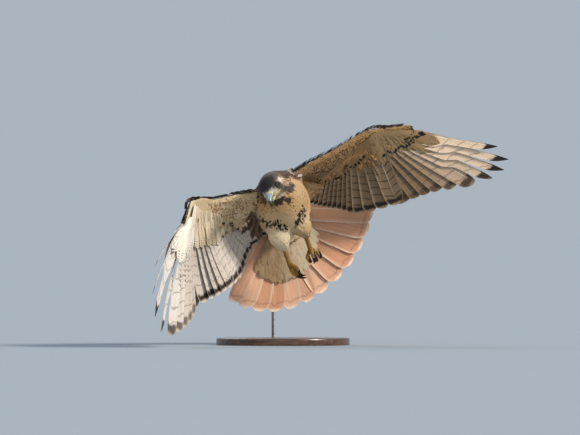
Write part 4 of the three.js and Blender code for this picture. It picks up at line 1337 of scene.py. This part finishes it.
def covert_look(places, above, tier, place, shade):
    count = len(places)
    luck = draw.random(count)
    look = plain_look(count, (14.0, 0.66, 1.0))
    look["edges"][:, 2] = luck
    if above:
        look["ground"][:] = mix(mix(BROWN, DARK, 0.4), srgb("6a4d38"), luck[:, None] ** 2)
        look["rim"][:] = srgb("a07c5a")
        look["edges"][:, 0] = 0.7
        look["marks"][:, 2] = 0.4
        return look
    hand = place < 0.40
    # The under coverts' ground, and so their rim, are scaled by the wing's painted shade
    look["ground"][:] = mix(srgb("d3bd9c"), srgb("dfd0b4"), luck[:, None]) * shade
    look["ground"][hand] = mix(srgb("e2d8c8"), srgb("efe8dc"), luck[hand, None]) * shade
    look["rim"][:] = look["ground"] * 1.12
    look["spot"][:] = srgb("1f1511")
    look["edges"][:, 0] = 0.5
    if tier == 0:
        look["marks"][:, 0] = 1.0
    elif tier == 1:
        look["marks"][:, 0] = np.where(luck < 0.6, 0.9, 0.0)
        look["shape"][:, :2] = 10, 0.76
    else:
        near_body = ease(0.45, 0.62, place)
        look["marks"][:, 2] = np.where(luck < mix(0.3, 0.55, near_body), 0.5, 0)
        look["spot"][:] = mix(srgb("87552f"), srgb("2a1a12"), near_body[:, None])
    for area in WING_MARKS:
        dark = marked(places, area)
        look["marks"][dark] = (0, 0, 0.35 if tier < 2 else 0.8)
        look["spot"][dark] = srgb(area["color"])
    return look


# Head details

def ring_tube(points, radius, count=8):
    centre = points.mean(axis=0)
    size = len(points)
    rings = []
    for i, p in enumerate(points):
        along = unit(points[(i + 1) % size] - points[i - 1])
        out = squared(p - centre, along)
        rings.append(oval(p, out, radius, cross(along, out), radius, radius, count))
    return np.concatenate(rings), belts(size, count, closed=True)


def make_eyes():
    for label, side in (("left", 1), ("right", -1)):
        centre = head_point(EYE[0], side * EYE[1], EYE[2])
        rings = []
        for angle in np.linspace(0.02, math.pi - 0.02, 24):
            swell = 1 + 0.07 * math.exp(-((angle / 0.62) ** 4))
            middle = centre + HEAD_LEFT * side * EYE_RADIUS * math.cos(angle) * swell
            wide = EYE_RADIUS * math.sin(angle) * swell
            rings.append(oval(middle, BILL, wide, HEAD_UP, wide, wide, 32))
        points, faces = loft(rings)
        eye = make_object(f"eye_{label}_ball", points, faces, PAINTS["eye"])
        pupil = np.clip(np.linalg.norm(squared_off(points - centre, HEAD_LEFT), axis=1) / EYE_RADIUS, 0, 1)
        store(eye.data, "iris", np.repeat(pupil[:, None], 3, axis=1))
        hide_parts("eye_" + label)
        angles = np.linspace(0, 2 * math.pi, 40, endpoint=False)
        lid = np.array([head_point(EYE[0] + 6.7 * math.cos(a), side * (EYE[1] + 4.6 - 0.8 * abs(math.cos(a))),
                                   EYE[2] + 5.9 * math.sin(a)) for a in angles])
        points, faces = ring_tube(lid, 1.9, 10)
        make_object(f"lid_{label}", points, faces, PAINTS["lid"])


def bill_half(name, points, faces):
    half = make_object(name, points, faces, PAINTS["bill"])
    rounding = half.modifiers.new("round", "SUBSURF")
    rounding.levels = 1
    rounding.render_levels = 1
    store(half.data, "place", along_each(points - HEAD, BILL, HEAD_LEFT, HEAD_UP))
    return half


# Rings of the upper bill: way forward, rise, half width, half height, turn in degrees. The lower bill has the
# same without the turn.
UPPER_BILL = [(19, 3, 10, 8.2, 0), (23, 3.1, 9.8, 7.8, 0), (27, 3.2, 8.9, 7.4, 4), (31, 3.0, 8.0, 7.0, 9),
              (35, 2.3, 6.9, 6.3, 16), (38.5, 1.3, 5.9, 5.6, 23), (42, -0.4, 4.8, 4.9, 34),
              (45, -2.6, 3.8, 4.1, 45), (47.4, -5.0, 3.0, 3.3, 57), (49, -7.6, 2.2, 2.5, 68),
              (49.9, -10.2, 1.4, 1.6, 77), (50.1, -12.2, 0.5, 0.6, 84)]
LOWER_BILL = [(18, -8.6, 8.4, 4.4), (23, -9.0, 8.2, 4.0), (28, -8.8, 7.0, 3.6), (33, -8.3, 5.8, 3.0),
              (38, -7.9, 4.3, 2.3), (41, -7.9, 3.0, 1.6), (42.6, -8.0, 1.6, 0.9)]
# The corner of the mouth: way forward, aside, up
GAPE = [(27, 8.6, -4.6), (20, 12.8, -5.6), (13, 17, -7.5), (6, 21, -9.5)]


def make_bill():
    angles = np.linspace(0, 2 * math.pi, 28, endpoint=False)
    flattened = 1 - 0.16 * np.maximum(0, np.sin(angles)) ** 3
    squash = np.where(np.abs(np.cos(angles)) > 0.5, flattened, 1)[:, None]
    rings = []
    for forward, up, wide, high, turn in UPPER_BILL:
        rise = HEAD_UP * math.cos(turn * DEGREE) + BILL * math.sin(turn * DEGREE)
        centre = head_point(forward, 0, up)
        ring = oval(centre, HEAD_LEFT, wide, rise, high, high, 28)
        rings.append(centre + (ring - centre) * squash)
    points, faces = loft(rings)
    for side in (1, -1):
        hole = head_point(28.5, side * 8.4, 4.6)
        gap = np.linalg.norm(points - hole, axis=1)
        points = points - np.outer(np.maximum(0, 1 - gap / 2.6) * 1.6, HEAD_LEFT * side)
    hook = bill_half("bill_hook", points, faces)
    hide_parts("bill_upper")
    points, faces = loft([oval(head_point(forward, 0, up), HEAD_LEFT, wide, HEAD_UP, high, high, 24)
                          for forward, up, wide, high in LOWER_BILL])
    jaw = bill_half("bill_jaw", points, faces)
    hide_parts("bill_lower")
    shapes = []
    for side in (1, -1):
        path = [head_point(forward, side * aside, up) for forward, aside, up in GAPE]
        shapes.append(limb(path, [0.8, 1.3, 1.5, 1.2, 0.5], 10, 14))
    points, faces = together(shapes)
    make_object("gape", points, faces, PAINTS["gape"])


# Legs and feet

def foot_frame(leg):
    down = unit(leg["toes"] - leg["ankle"])
    curl = squared(leg["curl"], down)
    return down, curl, cross(down, curl)


def toe_arc(leg, toe, start, end, steps):
    down, curl, aside = foot_frame(leg)
    reach = leg["reach"] * toe[2]
    angles = np.linspace(start, end, steps) * DEGREE
    return np.array([leg["toes"] + aside * toe[0] * leg["splay"] * min(1, 0.35 + abs(a))
                     + curl * reach * (1 - math.cos(a)) + down * reach * math.sin(a) for a in angles])


def rear_arc(leg, start, end, steps):
    down, curl, aside = foot_frame(leg)
    angles = np.linspace(start, end, steps) * DEGREE
    spread = aside * REAR_TOE_ASIDE * leg["splay"]
    return np.array([leg["toes"] - down * 4 + curl * 5 + spread * math.sin(a / 2) + curl * 20 * math.sin(a)
                     + down * 15 * (1 - math.cos(a)) for a in angles])


def knuckled(thick, count, last):
    """Radii of a toe, swollen at each joint."""
    shares = np.linspace(0, 1, count)
    return thick * (mix(1.0, last, shares) + 0.10 * np.cos(shares * 6 * math.pi))


def make_feet():
    for label, leg in LEGS.items():
        shapes = [limb([mix(leg["ankle"], leg["toes"], 0.1), leg["toes"]], [6.2, 5.4, 5.2, 5.6, 6.6], 18, 14)]
        for toe in TOES:
            shapes.append(limb(toe_arc(leg, toe, 0, leg["clench"], 11), knuckled(toe[1], 22, 0.68), 14, 22))
        shapes.append(limb(rear_arc(leg, 0, 72, 7), knuckled(4.9, 14, 0.72), 14, 14))
        points, faces = together(shapes)
        foot = make_object(f"foot_{label}", points, faces, PAINTS["foot"])
        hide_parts(f"leg_{label}_foot")
        clench, hook = leg["clench"], leg["hook"]
        arcs = [(toe_arc(leg, toe, clench - 6, clench + hook, 9), toe[1]) for toe in TOES]
        arcs.append((rear_arc(leg, 66, 150, 9), 5.2))
        for number, (arc, thick) in enumerate(arcs, 1):
            points, faces = limb(arc, thick * np.array([0.60, 0.60, 0.55, 0.46, 0.36, 0.24, 0.08]), 12, 16)
            claw = make_object(f"talon_{label}_{number}", points, faces, PAINTS["claw"])
            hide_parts(f"claw_{label}_{number}")


# The turned edge of the base: how far in from the rim, and how high
BASE_EDGE = [(BASE_RADIUS, 0), (1.5, 0), (0.4, 0.4), (0, 1.5), (0, BASE_THICK - 3), (0.5, BASE_THICK - 1.4),
             (1.5, BASE_THICK - 0.5), (3, BASE_THICK), (BASE_RADIUS, BASE_THICK)]
BASE_SIDES = 160


def make_stand():
    angles = np.linspace(0, 2 * math.pi, BASE_SIDES, endpoint=False)
    rings = []
    for inset, height in BASE_EDGE:
        radius = max(BASE_RADIUS - inset, 0.4)
        rings.append(np.stack([radius * np.cos(angles), radius * np.sin(angles),
                               np.full(BASE_SIDES, float(height))], axis=1))
    points, faces = loft(rings)
    disc = make_object("stand_disc", points, faces, PAINTS["stand_wood"], smooth=False)
    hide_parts("stand_base")
    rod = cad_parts["stand_rod"]
    rod.data.materials.clear()
    rod.data.materials.append(PAINTS["stand_steel"])
    rod.data.shade_smooth()


# The paints, one for each kind of surface

def make_paints():
    feather_paint("flight")
    feather_paint("plumage", 0.72)
    feather_paint("tail", line=True)

    paint = Paint("skin")
    color = paint.blend(paint.noise(160, 3), paint.tint("ground"), paint.scale(paint.tint("ground"), 0.72))
    paint.finish(color, 0.85, paint.bump(paint.noise(300, 3), 0.5, 0.001))

    paint = Paint("eye")
    far = paint.attribute("iris")[0]
    ring = far.between(0.62, 0.70)
    color = paint.blend(ring, "050404", "38200f")
    color = paint.blend(far.between(0.80, 0.90), color, "0d0907")
    paint.finish(color, 0.05, specular_ior_level=0.5)

    paint = Paint("lid")
    paint.finish(paint.blend(paint.noise(500, 2), "1d1917", "3d3630"), 0.7,
                 paint.bump(paint.noise(900, 2), 0.4, 0.0004))

    paint = Paint("bill")
    forward, _, above = paint.attribute("place")
    cere = 1 - (forward + above * 0.35).between(30.0, 32.0)
    tip = (forward - above * 0.8).between(38.0, 49.0)
    grain = paint.noise(700, 3)
    color = paint.blend(tip, "8f9ba3", "15161a")
    color = paint.blend(cere, color, paint.blend(grain, "b3a858", "cbc7a0"))
    # The nostril is painted near black, as painted shade inside its opening
    hole = (forward - 28.5) * (forward - 28.5) + (above - 4.8) * (above - 4.8)
    color = paint.blend(1 - hole.between(1.2, 3.2), color, "14100c")
    paint.finish(color, cere * 0.2 + 0.28, paint.bump(grain, 0.2, 0.0004), coat_weight=0.3)

    paint = Paint("gape")
    paint.finish(paint.blend(paint.noise(600, 2), "b7933a", "d8c172"), 0.5)

    paint = Paint("foot")
    cells = paint.number("ShaderNodeTexVoronoi", {"feature": "DISTANCE_TO_EDGE"},
                         {"Vector": paint.place(), "Scale": 420.0}, "Distance")
    crease = 1 - cells.between(0.0, 0.18)
    color = paint.blend(paint.noise(180, 3), "bb8b38", "946a2c")
    color = paint.blend(crease * 0.7, color, "463116")
    paint.finish(color, 0.5, paint.bump(1 - crease, 0.6, 0.0008))

    paint = Paint("claw")
    paint.finish(paint.blend(paint.noise(260, 3), "0c0b0b", "231f1d"), 0.25,
                 paint.bump(paint.noise(900, 2, (1, 1, 0.2)), 0.15, 0.0003))

    paint = Paint("stand_wood")
    long_grain = paint.noise(14, 5, (1, 12, 12))
    fine = paint.noise(90, 4, (1, 14, 14))
    color = paint.blend(long_grain.between(0.35, 0.65), "3b2417", "63402a")
    color = paint.blend(fine.between(0.5, 0.75) * 0.5, color, "25160e")
    paint.finish(color, fine * 0.12 + 0.30, paint.bump(fine, 0.12, 0.0005), coat_weight=0.35,
                 coat_roughness=0.2)

    paint = Paint("stand_steel")
    brushed = paint.noise(60, 3, (30, 30, 1))
    paint.finish(paint.blend(brushed, (0.50, 0.51, 0.52), (0.66, 0.67, 0.68)), brushed * 0.2 + 0.22,
                 paint.bump(brushed, 0.1, 0.0002), metallic=1.0)


# The coat of small feathers

# How many points are tried, where the bill starts on the head, the shortest feather, how deep a root lies
SAMPLES = 130000
BILL_START = 21.5
LEAST_LENGTH = 2.0
ROOT_DEPTH = 0.9


def low_on_leg(points):
    """0 on the thigh, and 1 near the foot."""
    lower = np.zeros(len(points))
    for leg in LEGS.values():
        shank = leg["toes"] - leg["hip"]
        reach = (points - leg["hip"]) @ shank / (shank @ shank)
        near = np.linalg.norm(points - leg["hip"] - reach[:, None] * shank, axis=1) < 30
        lower = np.maximum(lower, ease(0.3, 0.62, reach) * near)
    return lower


def short_of_eyes(root, way, size):
    """Shortens the feathers that would reach over an eye."""
    for side in (1, -1):
        from_eye = root - head_point(EYE[0], side * (EYE[1] + 5), EYE[2])
        nearest = -np.sum(from_eye * way, axis=1)
        miss = np.linalg.norm(from_eye + nearest[:, None] * way, axis=1)
        enter = nearest - np.sqrt(np.clip(EYE_ROOM ** 2 - miss ** 2, 0, None))
        crossing = (miss < EYE_ROOM) & (enter > 0)
        size = np.where(crossing, np.minimum(size, enter + 1.0), size)
        size = np.where(np.linalg.norm(from_eye, axis=1) < EYE_ROOM, 0, size)
    return size


def above_skin(surface, tips):
    """How far each tip stands above the skin."""
    heights = []
    for tip in tips.tolist():
        place, facing, _, _ = surface.find_nearest(tip)
        heights.append((Vector(tip) - place).dot(facing))
    return np.array(heights)


def round_chart(rows, start, length):
    """Places on the bake map by the turn round an axis and the way along it."""
    return np.stack([np.arctan2(rows[:, 2], rows[:, 1]) / (2 * math.pi) + 0.5,
                     np.clip((rows[:, 0] - start) / length, 0, 1)], axis=1)


def front_chart(points):
    """Places on the bake map as seen from the front."""
    return np.stack([np.clip((points[:, 0] + 320) / 660, 0, 1), np.clip(points[:, 2] / 520, 0, 1)], axis=1)


def make_coat(skin):
    points, normals = mesh_arrays(skin.data)
    store(skin.data, "ground", tint_bird(points, normals, on_bird(points))["ground"])
    surface = BVHTree.FromPolygons(points.tolist(), [tuple(face.vertices) for face in skin.data.polygons])
    points, normals = sample_skin(skin.data, SAMPLES)
    found = on_bird(points)
    share, head, body = found["share"], found["head"], found["body"]
    part = np.argmax(np.array([share[name] for name in PARTS]), axis=0)
    is_part = lambda *names: np.isin(part, [PARTS.index(name) for name in names])
    lie = lie_of_coat(normals, found)
    front = ease(-12, 16, head[:, 0])
    back = body[:, 2] > 6
    lower = low_on_leg(points)
    # Coats: which points, least gap, length, width
    groups = [
        ("coat_head", is_part("head"), 2.4, 9.5 - 5 * front, 4.8 - 2.0 * front),
        ("coat_neck", is_part("neck"), 3.0, 14, 6),
        ("coat_breast", is_part("trunk") & ~back, 3.7, 19, 7.5),
        ("coat_back", is_part("trunk", "rump") & back, 5.2, 25, 15),
        ("coat_vent", is_part("rump") & ~back, 4.6, 24, 9),
        ("coat_legs", is_part("leg_left", "leg_right"), 3.6, 23 - 12 * lower, 7 - 2.5 * lower),
        ("coat_wing_left", is_part("arm_left", "hand_left"), 3.5, 14, 7),
        ("coat_wing_right", is_part("arm_right", "hand_right"), 3.5, 14, 7),
    ]
    charts = {"coat_head": round_chart(head, -60, 90), "coat_wing_left": front_chart(points),
              "coat_wing_right": front_chart(points)}
    for name, members, gap, length, width in groups:
        label = name.split("_")[-1]
        if label in WINGS:
            facing_back = np.sum(normals * found[label]["along"], axis=1)
            members = members & (facing_back < 0.55)
        rows = np.nonzero(members & (head[:, 0] < BILL_START))[0]
        rows = rows[spaced(points[rows], gap)]
        size = np.broadcast_to(length, len(points))[rows] * (1 + draw.normal(0, 0.08, len(rows)))
        wide = np.broadcast_to(width, len(points))[rows] * (1 + draw.normal(0, 0.08, len(rows)))
        root, way, out = points[rows] - normals[rows] * ROOT_DEPTH, lie[rows], normals[rows]
        if label in WINGS:
            edge = np.clip(-facing_back[rows], 0, 1)
            size = size * (1 - 0.45 * edge)
            wide = wide * (1 - 0.25 * edge)
        size = short_of_eyes(root, way, size)
        kept = size > LEAST_LENGTH
        rows, root, way, out, size, wide = (values[kept] for values in (rows, root, way, out, size, wide))
        drops = above_skin(surface, root + way * size[:, None])
        tip_rise = np.clip(np.clip(size * 0.10, 0.9, 2.2) - drops, -0.6 * size, 0.5 * size)
        shown = root + way * (size * 0.7)[:, None]
        look = tint_bird(shown, out, on_bird(shown))
        chart = charts.get(name, round_chart(body, -220, 460))[rows] * 0.99
        columns = 5 if name == "coat_back" else 3
        coat(name, root, way, out, size, wide, 0.26, tip_rise, look, chart, 6, columns)
    return surface


# Large feathers, and the small ones laid over the coat

ARMPIT_FEATHERS, EDGE_FEATHERS, THUMB_FEATHERS = 30, 230, 3


def thumb_feathers(wing):
    along = unit(wing["outward"] + wing["up"] * wing["alula_raise"] + wing["backward"] * wing["alula_turn"])
    feathers = []
    for index in range(THUMB_FEATHERS):
        off = wing["backward"] * (index * 3 - 3) + wing["up"] * (2.4 - index * 1.4)
        root = wing["wrist"] + wing["outward"] * 16 + off
        feathers.append(dict(
            root=root - along * 6, tip=root + along * (84 - index * 20), outward=-wing["backward"],
            up=wing["up"], inner=6, outer=3.5, tilt=0, notch=NO_NOTCH, arch=3, sweep=0, hand=1.0, order=7))
    return feathers


def make_flight(surface):
    for label, wing in wings.items():
        vane_set(f"flight_{label}", wing_rows(wing), flight_look, PAINTS["flight"])
        vane_set(f"thumb_{label}", thumb_feathers(wing), thumb_look, PAINTS["flight"], 16, 9)
        for side, above, tiers in (("under", False, UNDER_TIERS), ("over", True, OVER_TIERS)):
            parts, looks, levels = [], [], []
            for tier, sizes in enumerate(tiers):
                parts.append(row_coverts(wing, above, sizes, surface))
                roots, lie, _, length, _, place = parts[-1]
                shown = roots + lie * length[:, None] * 0.8
                looks.append(covert_look(shown, above, tier, place, wing["row_shade"]))
                levels.append(np.full(len(roots), tier))
            roots, lie, normals, length, width, place = (np.concatenate(values) for values in zip(*parts))
            look = {key: np.concatenate([each[key] for each in looks]) for key in looks[0]}
            level = np.concatenate(levels)
            chart = np.stack([np.clip(place, 0, 1), (level + 0.5) / 4], axis=1) * 0.99
            tilt = 0.06 * wing["side"] * (-1 if above else 1)
            coat(f"coverts_{label}_{side}", roots, lie, normals, length, width, 0.06, -1.0, look, chart, 12,
                 5, True, tilt)


def make_armpits():
    count = ARMPIT_FEATHERS
    for label, wing in wings.items():
        shares = np.linspace(0, 1, count)[:, None]
        start, end = (np.array(wing[key], float) for key in ("armpit", "armpit_tips"))
        layer = (np.arange(count) % 2)[:, None]
        roots = mix(start[0], start[1], shares) + draw.normal(0, 1.5, (count, 3)) - wing["arm_up"] * layer * 2
        tips = mix(end[0], end[1], shares) + draw.normal(0, 3.0, (count, 3)) - wing["arm_up"] * layer * 2
        lies = units(tips - roots)
        normals = squared(np.broadcast_to(-wing["arm_up"], lies.shape), lies)
        length = np.linalg.norm(tips - roots, axis=1) * mix(1.0, 0.8, layer[:, 0])
        # The armpit's feathers take the wing's painted shade; on the right wing they are painted dark brown,
        # as painted shade where the wing meets the body
        look = covert_look(tips, False, 1, np.full(count, 0.9), wing["coat_shade"])
        if label == "right":
            look["ground"] = mix(srgb("4a3424"), srgb("7a5c40"), draw.random((count, 1)))
            look["spot"][:] = srgb("150e0b")
        look["marks"][:, 0] = 0.9
        look["shape"][:] = (7.0, 0.4, 0.8)
        chart = np.stack([shares[:, 0] * 0.95, np.full(count, 0.5)], axis=1)
        coat("axillaries_" + label, roots, lies, normals, length, 12.0, 0.10, 0.0, look, chart, 12, 5, True)


def make_spots(surface):
    """Dark feathers on top of the coat, each laid on whatever feather is there."""
    scene = bpy.context.scene
    graph = bpy.context.evaluated_depsgraph_get()
    roots, normals, sizes = [], [], []
    for area in BOLD_MARKS:
        chance = np.random.default_rng(area["seed"])
        count = area["count"]
        shares = (np.arange(count) + chance.uniform(0.1, 0.9, count)) / count
        centres = on_path(area, shares)
        centres[:, [0, 2]] += chance.normal(0, area["scatter"] * 0.6, (count, 2))
        for x, _, z in centres:
            start = Vector((x, -1000, z)) * MM
            found, place, facing, _, thing, _ = scene.ray_cast(graph, start, Vector((0, 1, 0)))
            if not found or thing.name.startswith(("stand", "floor", "foot", "talon", "tail", "flight")):
                continue
            facing = vec(*facing) * (1 if facing[1] < 0 else -1)
            under_it = vec(*surface.find_nearest(place / MM)[1])
            roots.append(vec(*place) / MM + facing * 0.5)
            normals.append(unit(facing + under_it * (0.8 if under_it @ facing > 0 else 0)))
            sizes.append(np.array(area["size"]) * chance.uniform(0.8, 1.2))
    roots, normals, sizes = np.array(roots), np.array(normals), np.array(sizes)
    lies = lie_of_coat(normals, on_bird(roots))
    count = len(roots)
    look = plain_look(count, rim=BROWN)
    look["ground"] = mix(srgb("120d0b"), srgb("2b1c14"), draw.random((count, 1)))
    look["edges"][:, 0] = 0.5
    wide, long = sizes.T
    coat("coat_spots", roots - lies * sizes[:, 1:] * 0.5, lies, normals, long, wide, 0.10, 0.5, look,
         front_chart(roots) * 0.99, 6, 5)


def make_edges():
    """Small dark feathers that stand over the leading edge of each wing."""
    count = EDGE_FEATHERS
    for label, wing in wings.items():
        wrist, outward, backward = wing["wrist"], wing["outward"], wing["backward"]
        line = [wing["shoulder"] + wing["arm_out"] * reach for reach in (8, 60, 115)]
        line += [wrist - backward * 13, wrist + outward * 45 - backward * 7, wrist + outward * (HAND + 4)]
        line = smooth_path(line, np.linspace(0, 1, 200))
        line[:120] -= np.outer(wing["fuller"] * np.sin(np.linspace(0, math.pi, 120)), wing["arm_back"])
        place = np.sort(draw.random(count))
        at = (place * 190).astype(int)
        along = units(line[at + 6] - line[at])
        forward = -squared(mix(wing["arm_back"], wing["backward"], ease(0.4, 0.7, place)[:, None]), along)
        rise = squared(mix(wing["arm_up"], wing["up"], ease(0.4, 0.7, place)[:, None]), along)
        level = draw.random(count)[:, None]
        roots = line[at] + rise * (1.5 + 6 * level) - forward * (1 + 8 * level)
        lies = units(along + forward * (0.36 + 0.2 * level) + rise * 0.1)
        normals = squared(rise + forward * 0.6, lies)
        luck = draw.random(count)
        look = covert_look(roots, True, 3, place, wing["coat_shade"])
        look["ground"] = mix(DARK, srgb("5d4534"), luck[:, None])
        look["ground"][luck > 0.80] = srgb("bdae98")
        chart = np.stack([place * 0.98, level[:, 0] * 0.3 + 0.65], axis=1)
        length = 17 * mix(1.0, 0.7, place)
        coat("edge_" + label, roots, lies, normals, length, 8.0, 0.12, 0.6, look, chart, 6, 5)


# Coverts of the tail: which face, the fan in degrees, reach, how much shorter at the sides, how far they
# stand off at the root and at the tip, and the width and length of a feather
TAIL_COVERTS = {
    "coverts_undertail": (1, -46, 30, 182, 40, 30, 7, 9.5, 36),
    "coverts_uppertail": (-1, -36, 36, 112, 20, 15, 8, 18, 44),
}


def make_tail():
    vane_set("tail_fan", tail_feathers(), tail_look, PAINTS["tail"])
    for name, (side, low, high, reach, fall, first, last, wide, long) in TAIL_COVERTS.items():
        outward = TAIL_BELLY * side
        step = wide * 0.45
        roots, lies, chart = [], [], []
        for place in np.arange(10, reach - long, step):
            for share in np.arange(0.02, 1.0, step / (max(place, 26) * (high - low) * DEGREE)):
                share = share + draw.normal(0, 0.006)
                if place > reach - long - fall * (2 * share - 0.8) ** 2:
                    continue
                angle = mix(low, high, share) * DEGREE + draw.normal(0, 0.008)
                along = TAIL_ALONG * math.cos(angle) + TAIL_LEFT * math.sin(angle)
                depth = mix(first, last, min(1, place / (reach - long))) + draw.normal(0, 0.25)
                roots.append(TAIL + along * (place + draw.normal(0, 2)) + outward * depth)
                lies.append(unit(along * long - outward * (first - last) * long / (reach - long) * 0.6))
                chart.append((np.clip(share, 0, 1) * 0.98, place / reach))
        roots, lies, chart = np.array(roots), np.array(lies), np.array(chart)
        count = len(roots)
        luck = draw.random(count)
        look = plain_look(count, spot=BUFF)
        # Painted shade: the undertail coverts are darker brown at the start of the fan, where the body shades
        # them, and turn cream further round
        middle = ease(0.25, 0.65, chart[:, 0])
        look["ground"] = mix(srgb("997c58"), srgb("cdb797"), np.clip(middle + luck * 0.2, 0, 1)[:, None])
        look["edges"][:, 2] = luck
        if side < 0:
            look["ground"] = mix(BROWN, srgb("8a5536"), luck[:, None])
            look["rim"][:] = srgb("c9a884")
            look["edges"][:, 0] = 0.6
        normals = squared(np.broadcast_to(outward, lies.shape), lies)
        coat(name, roots, lies, normals, long, wide, 0.05, 0.0, look, chart, 7, 5, True)


make_paints()
set_stage()
skin = make_skin()
surface = make_coat(skin)
make_flight(surface)
make_armpits()
make_edges()
make_spots(surface)
make_tail()
make_eyes()
make_bill()
make_feet()
make_stand()
